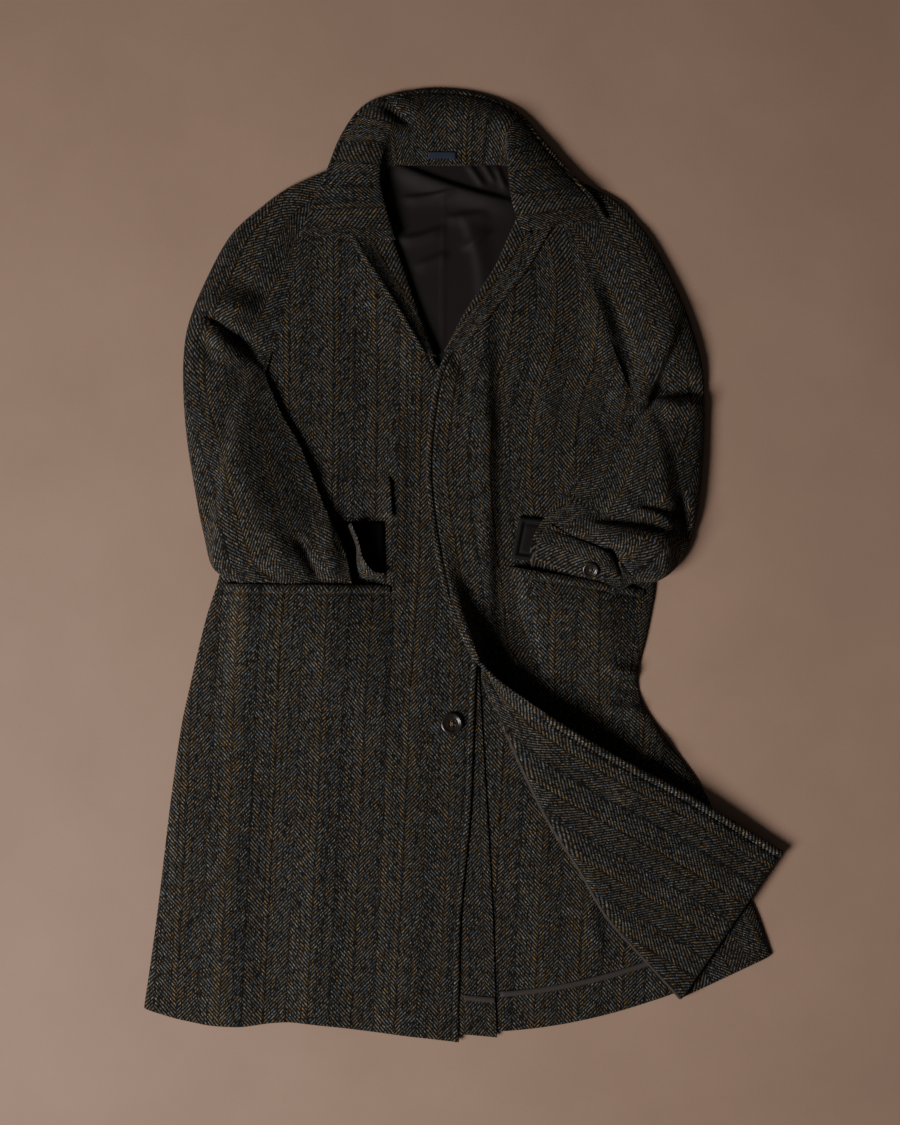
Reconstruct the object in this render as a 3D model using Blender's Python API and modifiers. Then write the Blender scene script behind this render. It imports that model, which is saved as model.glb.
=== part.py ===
"""Raglan overcoat in herringbone tweed, laid flat on its back.

The cuffs are tucked into the patch pockets and the lower corner of the left front is turned back.
Right and left are the wearer's. The coat lies on the plane z = 0 with its collar towards +Y.
Tables are in millimetres on the floor plan, from the centre of the coat's outline.
"""

import math
from collections import namedtuple

import bmesh
import bpy
import numpy as np
from mathutils import Vector

MM = 0.001

# Driving dimensions, in millimetres
TWEED = 2.4
LINING = 1.0
SEAM = 0.3
REST = 0.6
BACK_MID = TWEED / 2
LINING_MID = 3.5
FRONT_MID = 7.0
OVERLAP_STEP = 4.6
OVERLAP_RAMP = (8.0, 28.0)
OVERLAP_STARTS = (-190.0, -140.0)
SIDE_TURN = 16.0
SIDE_FOOT = 0.5
SIDE_COLUMNS = (0.0, 1.2, 4.0, 9.0, 17.0)
SIDE_INSET = 9.0
VENT_RAISE = TWEED + SEAM
VENT_COLUMNS = (0.0, 25.0, 50.0, 58.0, 66.0)
VENT_CLOSES = (-116.0, -70.0)
FLAP_STACK = 6.2
SLEEVE_CLIMB = (-28.0, -7.0)
SLEEVE_REST = 1.0
SLEEVE_FOLD = 3.8
SLEEVE_SEAM = 1.9
RAGLAN_GAP = 2.0
NECK_GAP = 4.0
NECK_GAP_FROM = (370.0, 415.0)
POCKET_BULGE_RIGHT = 22.0
POCKET_BULGE_LEFT = 21.0
POCKET_LEFT_RISE = (0.0, 0.11)
POCKET_RIGHT_FALL = (0.86, 1.0)
POCKET_FOOT_FALL = (0.2, 0.85)
LEFT_FLAP_LIFT = 1.2
FACING_TURN = 3.0
FACING_ROLL = ((-1.0, -0.2), (-1.2, 0.5), (-0.6, 1.25), (0.3, 1.55))
HEM_DEPTH = 47.0
BINDING_WIDTH = 7.0
COAT_BUTTON = 28.0
CUFF_BUTTON = 20.0
BUTTON_SIDES = 16

# Colours as linear RGB
TWEED_COLOUR = (0.030, 0.027, 0.022)
LINING_COLOUR = (0.024, 0.018, 0.017)
BINDING_COLOUR = (0.028, 0.022, 0.020)
HORN_COLOUR = (0.012, 0.010, 0.009)
LABEL_COLOUR = (0.010, 0.014, 0.030)

BackRow = namedtuple("BackRow", "side_y seam_x seam_y")
PanelRow = namedtuple("PanelRow", "side_x side_y edge_x edge_y drop")
LiningRow = namedtuple("LiningRow", "side_x side_y edge_x edge_y")
TurnRow = namedtuple("TurnRow", "side_x side_y fold_x fold_y edge_x edge_y roll lift drop")
SleeveRow = namedtuple("SleeveRow", "inner_x inner_y outer_x outer_y crown raglan over")
CollarRow = namedtuple("CollarRow", "neck_x neck_y neck_z roll_x roll_y roll_z out_x out_y out_z")
StripRow = namedtuple("StripRow", "roll_y width shift")
Corners = namedtuple("Corners", "left_top right_top left_foot right_foot")
Fold = namedtuple("Fold", "x0 y0 x1 y1 width height")

# Right front, from the hem to the neck. The side is the side seam up to the armpit, then the raglan seam.
FRONT_RIGHT = (
    PanelRow(-401, -558, -5, -600, 1.0),
    PanelRow(-391, -490, -4, -520, 1.0),
    PanelRow(-382, -422, -2, -442, 1.0),
    PanelRow(-367, -296, 10, -312, 1.0),
    PanelRow(-354, -205, 14, -215, 1.0),
    PanelRow(-340, -140, 17, -145, 1.0),
    PanelRow(-323, -69, 22, -72, 1.0),
    PanelRow(-305, -10, 28, -10, 1.0),
    PanelRow(-290, 66, 30, 66, 1.0),
    PanelRow(-277, 139, 29, 139, 1.0),
    PanelRow(-262, 205, 10, 208, 1.0),
    PanelRow(-249, 240, -24, 240, 1.0),
    PanelRow(-237, 275, -45, 280, 0.0),
    PanelRow(-224, 325, -63, 328, 0.0),
    PanelRow(-212, 370, -79, 375, 0.0),
    PanelRow(-203, 412, -93, 414, 0.0),
    PanelRow(-158, 448, -106, 450, 0.0),
)

# Left front. Below the apex of the turn-back a row runs to the fold, rolls over it and comes back to the edge.
FRONT_LEFT = (
    TurnRow(388, -491, 273, -545, 401, -359, 20, 16, 1.0),
    TurnRow(370, -440, 222, -490, 349, -327, 23, 24, 1.0),
    TurnRow(350, -395, 179, -441, 290, -291, 25, 29, 1.0),
    TurnRow(325, -335, 145, -383, 238, -262, 26, 32, 1.0),
    TurnRow(300, -280, 112, -324, 186, -234, 26, 33, 1.0),
    TurnRow(262, -228, 79, -252, 130, -200, 24, 31, 1.0),
    TurnRow(230, -182, 50, -182, 84, -170, 20, 26, 1.0),
    TurnRow(219, -150, 30, -140, 48, -146, 13, 19, 1.0),
    TurnRow(222, -122, 30, -106, 14, -117, 5, 12, 1.0),
    TurnRow(229, -94, 22, -80, -3, -87, 2, 7, 1.0),
    TurnRow(236, -60, 11, -45, -20, -48, 1, 3, 1.0),
    TurnRow(242, -20, 0, 0, -32, 0, 0, 1, 1.0),
    TurnRow(243, 50, -9, 60, -42, 60, 0, 0, 1.0),
    TurnRow(240, 110, -14, 120, -47, 120, 0, 0, 1.0),
    TurnRow(228, 170, -10, 180, -43, 180, 0, 0, 1.0),
    TurnRow(213, 207, 0, 235, -33, 240, 0, 0, 1.0),
    TurnRow(200, 241, 14, 280, -13, 280, 0, 0, 1.0),
    TurnRow(184, 285, 36, 325, 9, 321, 0, 0, 0.0),
    TurnRow(163, 350, 66, 378, 43, 372, 0, 0, 0.0),
    TurnRow(142, 408, 84, 422, 64, 418, 0, 0, 0.0),
    TurnRow(114, 446, 94, 452, 80, 452, 0, 0, 0.0),
)

# Back halves, from the hem to the neck. The right half lies over the left one at the vent.
BACK_RIGHT = (
    BackRow(-555, 43, -594),
    BackRow(-420, 38, -440),
    BackRow(-296, 31, -310),
    BackRow(-142, 22, -160),
    BackRow(-105, 20, -118),
    BackRow(-12, 13, -25),
    BackRow(139, 0, 139),
    BackRow(205, -5, 206),
    BackRow(272, -11, 290),
    BackRow(400, -18, 400),
    BackRow(446, -21, 450),
)
BACK_LEFT = (
    BackRow(-486, -2, -588),
    BackRow(-395, -8, -440),
    BackRow(-280, -14, -310),
    BackRow(-150, -20, -166),
    BackRow(-120, 22, -138),
    BackRow(-20, 14, -25),
    BackRow(110, 1, 139),
    BackRow(205, -4, 206),
    BackRow(272, -10, 290),
    BackRow(400, -17, 400),
    BackRow(444, -20, 450),
)
BACK_LEFT_HEM_BOW = -27.0
BACK_NECK_RIGHT = -98
BACK_NECK_LEFT = 58
BACK_NECK_TOP = 497

BACK_LINING = (
    LiningRow(-150, 110, 128, 110),
    LiningRow(-150, 250, 132, 250),
    LiningRow(-142, 380, 120, 380),
    LiningRow(-116, 450, 92, 450),
    LiningRow(-88, 495, 54, 495),
)

# Sleeves, from the neck to the cuff. Inner is the raglan seam, then the underarm seam. Outer is the fold.
SLEEVE_RIGHT = (
    SleeveRow(-153, 454, -159, 500, 2.0, 1.0, 0.0),
    SleeveRow(-205, 413, -219, 473, 4.5, 1.0, 0.0),
    SleeveRow(-214, 370, -254, 448, 7.0, 1.0, 0.0),
    SleeveRow(-226, 325, -291, 414, 11.0, 1.0, 0.0),
    SleeveRow(-239, 276, -322, 358, 16.0, 1.0, 0.0),
    SleeveRow(-252, 240, -343, 306, 17.0, 0.5, 0.6),
    SleeveRow(-258, 212, -350, 262, 17.0, 0.0, 1.0),
    SleeveRow(-242, 184, -350, 208, 22.0, 0.0, 1.0),
    SleeveRow(-223, 152, -345, 152, 27.0, 0.0, 1.0),
    SleeveRow(-199, 110, -336, 96, 29.0, 0.0, 1.0),
    SleeveRow(-173, 66, -326, 44, 28.0, 0.0, 1.0),
    SleeveRow(-151, 22, -311, -4, 23.0, 0.0, 1.0),
    SleeveRow(-141, -16, -275, -24, 8.5, 0.0, 0.9),
    SleeveRow(-141, -40, -257, -46, 5.0, 0.0, 0.7),
    SleeveRow(-144, -58, -246, -62, 4.0, 0.0, 0.7),
)
SLEEVE_LEFT = (
    SleeveRow(116, 452, 140, 486, 2.0, 1.0, 0.0),
    SleeveRow(143, 409, 193, 456, 4.5, 1.0, 0.0),
    SleeveRow(153, 380, 216, 432, 7.0, 1.0, 0.0),
    SleeveRow(165, 350, 239, 402, 11.0, 1.0, 0.0),
    SleeveRow(186, 286, 276, 328, 16.0, 1.0, 0.0),
    SleeveRow(203, 241, 297, 262, 18.0, 0.5, 0.6),
    SleeveRow(212, 208, 302, 214, 18.0, 0.0, 1.0),
    SleeveRow(201, 178, 302, 164, 20.0, 0.0, 1.0),
    SleeveRow(178, 148, 299, 112, 24.0, 0.0, 1.0),
    SleeveRow(152, 117, 292, 58, 27.0, 0.0, 1.0),
    SleeveRow(126, 88, 275, 8, 27.0, 0.0, 1.0),
    SleeveRow(102, 58, 245, -18, 22.0, 0.0, 1.0),
    SleeveRow(86, 27, 214, -21, 12.0, 0.0, 1.0),
    SleeveRow(86, -2, 192, -36, 6.5, 0.0, 0.85),
    SleeveRow(90, -22, 188, -50, 4.0, 0.0, 0.7),
)

# Collar, round the neck from the right front to the left front
COLLAR = (
    CollarRow(-100, 404, 9.1, -88, 408, 26, -205, 413, 14),
    CollarRow(-107, 445, 9.1, -101, 452, 31, -190, 450, 15),
    CollarRow(-104, 478, 7.0, -107, 491, 34, -170, 498, 14),
    CollarRow(-92, 499, 5.4, -98, 537, 33, -152, 542, 9),
    CollarRow(-72, 502, 5.0, -82, 556, 27, -122, 580, 4),
    CollarRow(-48, 502, 5.0, -55, 560, 20, -67, 596, 2.6),
    CollarRow(-20, 502, 5.0, -22, 560, 18, -23, 599, 2.2),
    CollarRow(15, 502, 5.0, 18, 555, 20, 28, 591, 2.6),
    CollarRow(45, 503, 5.4, 52, 545, 25, 70, 569, 5),
    CollarRow(64, 497, 6.5, 66, 515, 30, 104, 530, 10),
    CollarRow(73, 474, 8.0, 71, 482, 32, 140, 488, 14),
    CollarRow(81, 442, 9.1, 72, 448, 29, 165, 460, 15),
    CollarRow(88, 415, 9.1, 80, 417, 24, 182, 433, 14),
)
COLLAR_CROWN = 5.0

# Facings that show where the fronts open at the neck, from the roll line outwards
FACING_RIGHT = (
    StripRow(262, 15, 2),
    StripRow(286, 18, 1),
    StripRow(326, 27, 0),
    StripRow(372, 41, 0),
    StripRow(398, 47, 0),
)
FACING_LEFT = (
    StripRow(268, 18, 2),
    StripRow(286, 22, 1),
    StripRow(322, 31, -2),
    StripRow(372, 36, -4),
    StripRow(407, 42, -2),
)

POCKET_RIGHT = Corners((-300, -23), (-92, -25), (-316, -226), (-79, -231))
POCKET_LEFT = Corners((57, -1), (227, -30), (102, -186), (203, -168))
FLAP_RIGHT = Corners((-262, 52), (-100, 54), (-262, -12), (-98, -13))
FLAP_LEFT = Corners((71, 61), (205, 47), (60, 8), (205, -10))
TICKET_FLAP = Corners((-206, 116), (-92, 116), (-206, 60), (-88, 60))
CUFF_STRAP_PATH = ((-136, 46), (-133, 26), (-127, 6), (-113, -9), (-102, -14))
CUFF_STRAP_HEIGHT = 11.0

COAT_BUTTON_AT = (-14, -199)
NECK_LABEL = (0.4375, 0.526, 0.07, 0.135)
CUFF_TAB = (0.79, 0.90, 0.07, 0.385)
CUFF_BUTTON_AT = (0.868, 0.279)
CUFF_TAB_POINT = 0.09
CUFF_TAB_NARROW = 0.6
HEM_BINDING_RIGHT = (1, 40)
HEM_BINDING_LEFT = (47, 290)

FOLDS_RIGHT = (
    Fold(-76, 190, -84, -20, 15, 2.4),
    Fold(-150, 390, -172, 250, 18, 2.0),
    Fold(-176, -260, -182, -620, 30, 4.0),
    Fold(-292, -320, -304, -620, 26, 4.5),
    Fold(-62, -300, -70, -640, 30, 3.0),
    Fold(-236, -240, -246, -560, 22, -2.0),
)
FOLDS_LEFT = (
    Fold(17, 210, 20, -50, 10, 2.2),
    Fold(44, 230, 42, -40, 8, -1.6),
    Fold(108, 350, 104, 130, 17, 3.0),
    Fold(190, -285, 262, -215, 18, 6.0),
    Fold(330, -330, 260, -420, 26, 4.0),
)
FOLDS_SLEEVE_RIGHT = (
    Fold(-330, 296, -262, 284, 13, 8.0),
    Fold(-336, 262, -276, 250, 10, -9.0),
    Fold(-318, 176, -250, 60, 22, 4.0),
    Fold(-240, 10, -196, -30, 14, -6.0),
)
FOLDS_SLEEVE_LEFT = (
    Fold(206, 224, 290, 226, 10, -8.0),
    Fold(222, 196, 296, 196, 14, 5.0),
    Fold(168, 52, 250, 46, 8, -8.0),
    Fold(176, 76, 262, 66, 11, 5.0),
    Fold(262, 64, 290, 30, 9, -6.0),
)
FOLDS_LINING = (
    Fold(-70, 500, 66, 452, 7, 4.0),
    Fold(10, 496, 30, 478, 5, 3.0),
    Fold(32, 494, 46, 474, 5, 3.0),
)


def column(table, name):
    return np.array([getattr(row, name) for row in table], float)


def through(values, at):
    """Reads a smooth curve through table values at places from 0 to 1."""
    values = np.asarray(values, float)
    spans = len(values) - 1
    place = np.clip(np.asarray(at, float) * spans, 0, spans - 1e-9)
    first = place.astype(int)
    part = place - first
    ends = ([2 * values[0] - values[1]], values, [2 * values[-1] - values[-2]])
    knots = np.concatenate(ends)
    a, b, c, d = (knots[first + k] for k in range(4))
    bend = (2 * a - 5 * b + 4 * c - d) * part**2 + (3 * b - a - 3 * c + d) * part**3
    return 0.5 * (2 * b + (c - a) * part + bend)


def straight(values, at):
    """Reads straight spans between table values at places from 0 to 1."""
    return np.interp(at, np.linspace(0, 1, len(values)), values)


def rise(value, low, high):
    """Goes smoothly from 0 at low to 1 at high."""
    part = np.clip((np.asarray(value, float) - low) / (high - low), 0, 1)
    return part * part * (3 - 2 * part)


def mix(first, second, share):
    return first + (second - first) * share


def fold_height(x, y, table):
    """Height of the ridges and troughs that cross a place on the plan."""
    total = np.zeros(np.broadcast(x, y).shape)
    for fold in table:
        run_x = fold.x1 - fold.x0
        run_y = fold.y1 - fold.y0
        length = math.hypot(run_x, run_y)
        along = ((x - fold.x0) * run_x + (y - fold.y0) * run_y) / length**2
        across = ((x - fold.x0) * run_y - (y - fold.y0) * run_x) / length
        ends = rise(along, -0.15, 0.25) * (1 - rise(along, 0.75, 1.15))
        total = total + fold.height * np.exp(-((across / fold.width) ** 2)) * ends
    return total


def line_x(table, x_name, y_name, y):
    """The x of a panel's long edge at a height on the plan."""
    at = np.linspace(0, 1, 200)
    xs = through(column(table, x_name), at)
    ys = through(column(table, y_name), at)
    return np.interp(y, ys, xs)


def right_height(x, y):
    return FRONT_MID + fold_height(x, y, FOLDS_RIGHT)


def left_height(x, y):
    """The left front steps up where it lies on the right front."""
    under = line_x(FRONT_RIGHT, "edge_x", "edge_y", y)
    step = OVERLAP_STEP * (1 - rise(x - under, *OVERLAP_RAMP)) * rise(y, *OVERLAP_STARTS)
    return FRONT_MID + step + fold_height(x, y, FOLDS_LEFT)


def side_shares(width, columns):
    """Shares across a row: close together round the side's turn, then even to the edge."""
    near = np.array(SIDE_COLUMNS) * min(1, 0.4 * width / SIDE_COLUMNS[-1]) / width
    rest = np.linspace(near[-1], 1, columns - len(near) + 1)[1:]
    return np.concatenate([near, rest])


def side_turn(reach, drop, height):
    """Brings a front down to the floor in a round turn at its side seam."""
    turn = np.clip(reach / SIDE_TURN, 0, 1)
    round_part = np.sqrt(1 - (1 - turn) ** 2)
    return mix(height, mix(SIDE_FOOT, height, round_part), drop)


def front_right_points(columns, rows):
    at = np.linspace(0, 1, rows)
    side_x, side_y, edge_x, edge_y = (
        through(column(FRONT_RIGHT, name), at) for name in PanelRow._fields[:4]
    )
    drop = np.clip(through(column(FRONT_RIGHT, "drop"), at), 0, 1)
    points = np.zeros((rows, columns, 3))
    for j in range(rows):
        width = math.hypot(edge_x[j] - side_x[j], edge_y[j] - side_y[j])
        share = side_shares(width, columns)
        x = mix(side_x[j], edge_x[j], share)
        y = mix(side_y[j], edge_y[j], share)
        points[j, :, 0] = x
        points[j, :, 1] = y
        points[j, :, 2] = side_turn(share * width, drop[j], right_height(x, y))
    return points


def front_left_points(flat_columns, roll_columns, turn_columns, rows):
    """Rows of the left front: flat to the fold, round the roll, then back to the front edge."""
    at = np.linspace(0, 1, rows)
    read = {name: through(column(FRONT_LEFT, name), at) for name in TurnRow._fields}
    drop = np.clip(read["drop"], 0, 1)
    lines = []
    for j in range(rows):
        side = np.array([read["side_x"][j], read["side_y"][j]])
        fold = np.array([read["fold_x"][j], read["fold_y"][j]])
        edge = np.array([read["edge_x"][j], read["edge_y"][j]])
        roll = max(read["roll"][j], 0)
        lift = max(read["lift"][j], 0)
        out = (fold - side) / np.linalg.norm(fold - side)
        back = (edge - fold) / np.linalg.norm(edge - fold)
        reach = min(0.5 * roll + 4, 0.4 * np.linalg.norm(edge - fold))
        start = fold - out * reach
        end = fold + back * reach
        width = np.linalg.norm(start - side)
        share = side_shares(width, flat_columns)[:, None]
        flat = mix(side, start, share)
        part = np.linspace(0, 1, roll_columns + 1)[1:, None]
        tip = fold + out * reach
        bend = start * (1 - part) ** 2 + 2 * tip * part * (1 - part) + end * part**2
        last = np.linspace(0, 1, turn_columns + 1)[1:, None]
        turned = mix(end, edge, last)
        plan = np.concatenate([flat, bend, turned])
        height = left_height(plan[:, 0], plan[:, 1])
        height[:flat_columns] = side_turn(share[:, 0] * width, drop[j], height[:flat_columns])
        rolled = np.concatenate([np.zeros(flat_columns), rise(part[:, 0], 0, 1), np.ones(turn_columns)])
        lifted = np.concatenate([np.zeros(flat_columns + roll_columns), last[:, 0]])
        height = height + roll * rolled + (lift - roll) * lifted
        lines.append(np.column_stack([plan, height]))
    return np.array(lines)


def back_rows(table, front, inset, steps):
    """Side and seam points of a back half; the side runs inside its front's side seam."""
    rows = (len(table) - 1) * steps + 1
    at = np.linspace(0, 1, rows)
    side_y, seam_x, seam_y = (straight(column(table, name), at) for name in BackRow._fields)
    side_x = line_x(front, "side_x", "side_y", side_y) + inset
    return side_x, side_y, seam_x, seam_y


def with_neck(points, neck_x):
    """Adds the row at the neck, where the back ends under the collar."""
    seam_x = points[-1, -1, 0]
    x = np.linspace(neck_x, seam_x, points.shape[1])
    neck = np.column_stack([x, np.full_like(x, BACK_NECK_TOP), np.full_like(x, BACK_MID)])
    return np.concatenate([points, neck[None]])


def back_right_points(columns, steps):
    """The right half climbs onto the left half's underlap below the vent's top."""
    side_x, side_y, seam_x, seam_y = back_rows(BACK_RIGHT, FRONT_RIGHT, SIDE_INSET, steps)
    lines = []
    for j in range(len(side_x)):
        width = math.hypot(seam_x[j] - side_x[j], seam_y[j] - side_y[j])
        near = np.array(VENT_COLUMNS) / width
        share = np.concatenate([near, np.linspace(near[-1], 1, columns - len(near) + 1)[1:]])[::-1]
        x = mix(seam_x[j], side_x[j], share)
        y = mix(seam_y[j], side_y[j], share)
        climb = (1 - rise(share * width, VENT_COLUMNS[2], VENT_COLUMNS[4])) * (1 - rise(y, *VENT_CLOSES))
        lines.append(np.column_stack([x, y, BACK_MID + VENT_RAISE * climb]))
    return with_neck(np.array(lines), BACK_NECK_RIGHT)


def back_left_points(columns, steps):
    side_x, side_y, seam_x, seam_y = back_rows(BACK_LEFT, FRONT_LEFT, -SIDE_INSET, steps)
    share = np.linspace(0, 1, columns)[None, :]
    x = mix(side_x[:, None], seam_x[:, None], share)
    y = mix(side_y[:, None], seam_y[:, None], share)
    at = np.linspace(0, 1, len(side_x))[:, None]
    y = y + BACK_LEFT_HEM_BOW * 4 * share * (1 - share) * (1 - rise(at, 0, 0.2))
    points = np.stack([x, y, np.full_like(x, BACK_MID)], axis=2)
    return with_neck(points, BACK_NECK_LEFT)


def lining_points(columns, rows):
    at = np.linspace(0, 1, rows)
    side_x, side_y, edge_x, edge_y = (
        through(column(BACK_LINING, name), at)[:, None] for name in LiningRow._fields
    )
    share = np.linspace(0, 1, columns)[None, :]
    x = mix(side_x, edge_x, share)
    y = mix(side_y, edge_y, share)
    z = LINING_MID + fold_height(x, y, FOLDS_LINING)
    return np.stack([x, y, z], axis=2)


def under_right_sleeve(x, y):
    """Top of what lies under the right sleeve: the front with its flaps, nothing beyond the side seam."""
    inside = rise(x - line_x(FRONT_RIGHT, "side_x", "side_y", y), *SLEEVE_CLIMB)
    return (FRONT_MID + TWEED / 2 + FLAP_STACK) * inside


def under_left_sleeve(x, y):
    inside = rise(line_x(FRONT_LEFT, "side_x", "side_y", y) - x, *SLEEVE_CLIMB)
    return (FRONT_MID + TWEED / 2 + FLAP_STACK) * inside


def sleeve_points(table, front, out, folds, under, around, rows):
    """A sleeve's single panel, wrapped from its front seam over the top, round the fold and back beneath."""
    at = np.linspace(0, 1, rows)
    read = {name: through(column(table, name), at)[:, None] for name in SleeveRow._fields}
    raglan = np.clip(read["raglan"], 0, 1)
    over = np.clip(read["over"], 0, 1)
    angle = np.linspace(0, 2 * math.pi, around)[None, :]
    share = (1 - np.cos(angle)) / 2
    gap = RAGLAN_GAP + NECK_GAP * rise(read["inner_y"], *NECK_GAP_FROM)
    seam_x = line_x(front, "side_x", "side_y", read["inner_y"]) + out * gap
    inner_x = mix(read["inner_x"], seam_x, raglan)
    x = mix(inner_x, read["outer_x"], share)
    y = mix(read["inner_y"], read["outer_y"], share)
    swell = np.abs(np.sin(angle))
    base = BACK_MID + over * (under(x, y) + SLEEVE_REST)
    middle = base + SLEEVE_FOLD
    seam_level = raglan * (1 - share) ** 3
    seam = SLEEVE_SEAM * (1 - share) ** 6
    top = middle + seam + read["crown"] * swell**0.75 + fold_height(x, y, folds) * swell
    top = mix(top, np.maximum(FRONT_MID, top), seam_level)
    foot = middle - np.maximum(SLEEVE_FOLD * np.maximum(swell**0.5, seam_level), seam)
    z = np.where(np.arange(around)[None, :] < around / 2, top, foot)
    return np.stack([x, y, z], axis=2)


def collar_points(across, rows):
    at = np.linspace(0, 1, rows)
    read = {name: through(column(COLLAR, name), at) for name in CollarRow._fields}
    neck, roll, out = (
        np.stack([read[name + axis] for axis in ("_x", "_y", "_z")], axis=1) for name in ("neck", "roll", "out")
    )
    stand = (neck + roll) / 2
    fall = (roll + out) / 2 + np.array([0, 0, COLLAR_CROWN])
    share = np.linspace(0, 1, across)
    return np.array([
        np.stack([through(knots[:, k], share) for k in range(3)], axis=1)
        for knots in np.stack([neck, stand, roll, fall, out], axis=1)
    ])


def facing_points(table, front, out, height, across, rows):
    """A facing rolled up out of the neck opening and laid back on its front."""
    at = np.linspace(0, 1, rows)
    inner_y, width, shift = (through(column(table, name), at)[:, None] for name in StripRow._fields)
    inner_x = line_x(front, "edge_x", "edge_y", inner_y)
    lay = TWEED + REST
    roll = np.array(FACING_ROLL)
    turn = roll[None, :, 0] * FACING_TURN
    climb = roll[None, :, 1] * lay
    rest = np.linspace(0, 1, across - 3)[None, 1:]
    reach = np.concatenate([np.repeat(turn, rows, axis=0), mix(turn[:, -1:], width, rest)], axis=1)
    settle = mix(climb[:, -1:], lay, rise(rest, 0, 0.7))
    lifted = np.concatenate([climb, settle], axis=1)
    x = inner_x + out * reach
    y = inner_y + shift * reach / width
    return np.stack([x, y, height(x, y) + lifted], axis=2)


def patch_plan(corners, across, rows):
    """Plan of a four-cornered patch, from its left top corner, with rows running down."""
    share = np.linspace(0, 1, across)[None, :, None]
    down = np.linspace(0, 1, rows)[:, None, None]
    top = mix(np.array(corners.left_top, float), np.array(corners.right_top, float), share)
    foot = mix(np.array(corners.left_foot, float), np.array(corners.right_foot, float), share)
    plan = mix(top, foot, down)
    return plan[..., 0], plan[..., 1], share[0, :, 0][None, :], down[:, 0, 0][:, None]


def pocket_points(corners, height, bulge, across, rows):
    """A patch pocket, held off its front by the cuff inside it."""
    x, y, share, down = patch_plan(corners, across, rows)
    swell = rise(share, *POCKET_LEFT_RISE) * (1 - rise(share, *POCKET_RIGHT_FALL))
    swell = swell * (1 - rise(down, *POCKET_FOOT_FALL))
    z = height(x, y) + TWEED + REST + bulge * swell
    return np.stack([x, y, z], axis=2)


def flap_points(corners, height, lift, across, rows):
    x, y, _, _ = patch_plan(corners, across, rows)
    return np.stack([x, y, height(x, y) + lift], axis=2)


def normals(points):
    along = np.gradient(points, axis=0)
    across = np.gradient(points, axis=1)
    normal = np.cross(across, along)
    return normal / np.linalg.norm(normal, axis=2, keepdims=True)


def moved_out(points, distance):
    return points + normals(points) * distance


def material(name, colour, roughness):
    made = bpy.data.materials.new(name)
    made.use_nodes = True
    shader = made.node_tree.nodes["Principled BSDF"]
    shader.inputs["Base Color"].default_value = (*colour, 1)
    shader.inputs["Roughness"].default_value = roughness
    shader.inputs["Metallic"].default_value = 0
    return made


def sheet(name, points, thickness, cloth, collection):
    """A cloth wall: a grid moved to its points, thickened to both sides."""
    rows, columns = points.shape[:2]
    work = bmesh.new()
    bmesh.ops.create_grid(work, x_segments=columns - 1, y_segments=rows - 1, size=1)
    work.verts.ensure_lookup_table()
    for vertex, place in zip(work.verts, points.reshape(-1, 3) * MM):
        vertex.co = place
    mesh = bpy.data.meshes.new(name)
    work.to_mesh(mesh)
    work.free()
    mesh.materials.append(cloth)
    mesh.shade_smooth()
    made = bpy.data.objects.new(name, mesh)
    collection.objects.link(made)
    wall = made.modifiers.new("wall", "SOLIDIFY")
    wall.thickness = thickness * MM
    wall.offset = 0
    return made


def button(name, diameter, place, facing, cloth, collection):
    """A turned horn button with a raised rim and a dished face."""
    radius = diameter / 2
    profile = (
        (0.0, 0.62), (0.42, 0.62), (0.60, 0.72), (0.74, 0.96), (0.88, 1.0),
        (1.0, 0.72), (0.96, 0.30), (0.72, 0.0), (0.0, 0.0),
    )
    thick = 0.16 * diameter
    work = bmesh.new()
    verts = [work.verts.new((r * radius * MM, 0, h * thick * MM)) for r, h in profile]
    for first, second in zip(verts, verts[1:]):
        work.edges.new((first, second))
    mesh = bpy.data.meshes.new(name)
    work.to_mesh(mesh)
    work.free()
    mesh.materials.append(cloth)
    made = bpy.data.objects.new(name, mesh)
    tilt = Vector(facing).to_track_quat("Z", "Y")
    made.location = np.array(place) * MM
    made.rotation_mode = "QUATERNION"
    made.rotation_quaternion = tilt
    collection.objects.link(made)
    turn = made.modifiers.new("turn", "SCREW")
    turn.axis = "Z"
    turn.steps = BUTTON_SIDES
    turn.render_steps = BUTTON_SIDES
    turn.use_merge_vertices = True
    turn.merge_threshold = 0.00001
    turn.use_smooth_shade = True
    return made


def binding_points(back, raised, low_x, high_x, columns):
    """Tape over the raw edge of the turned hem, from the back's own points at the hem's depth."""
    hem = back[0]
    up = back[3] - back[0]
    up = up / np.linalg.norm(up, axis=1, keepdims=True)
    order = np.argsort(hem[:, 0])
    xs = np.linspace(low_x, high_x, columns)
    rows = []
    for depth in (HEM_DEPTH - BINDING_WIDTH / 2, HEM_DEPTH + BINDING_WIDTH / 2):
        line = (hem + up * depth)[order]
        y = np.interp(xs, line[:, 0], line[:, 1])
        rows.append(np.column_stack([xs, y, np.full(columns, BACK_MID)]))
    points = np.array(rows)
    points[..., 2] += raised + TWEED / 2 + SEAM + LINING / 2
    return points


def on_sheet(points, place, turn, distance):
    """Points of a sheet at shares of its two directions, moved out from its wall."""
    rows, columns = points.shape[:2]
    outside = moved_out(points, distance)
    j = np.clip(place * (rows - 1), 0, rows - 1.001)
    i = np.clip(turn * (columns - 1), 0, columns - 1.001)
    j0 = j.astype(int)
    i0 = i.astype(int)
    dj = (j - j0)[..., None]
    di = (i - i0)[..., None]
    low = mix(outside[j0, i0], outside[j0, i0 + 1], di)
    high = mix(outside[j0 + 1, i0], outside[j0 + 1, i0 + 1], di)
    return mix(low, high, dj)


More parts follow.
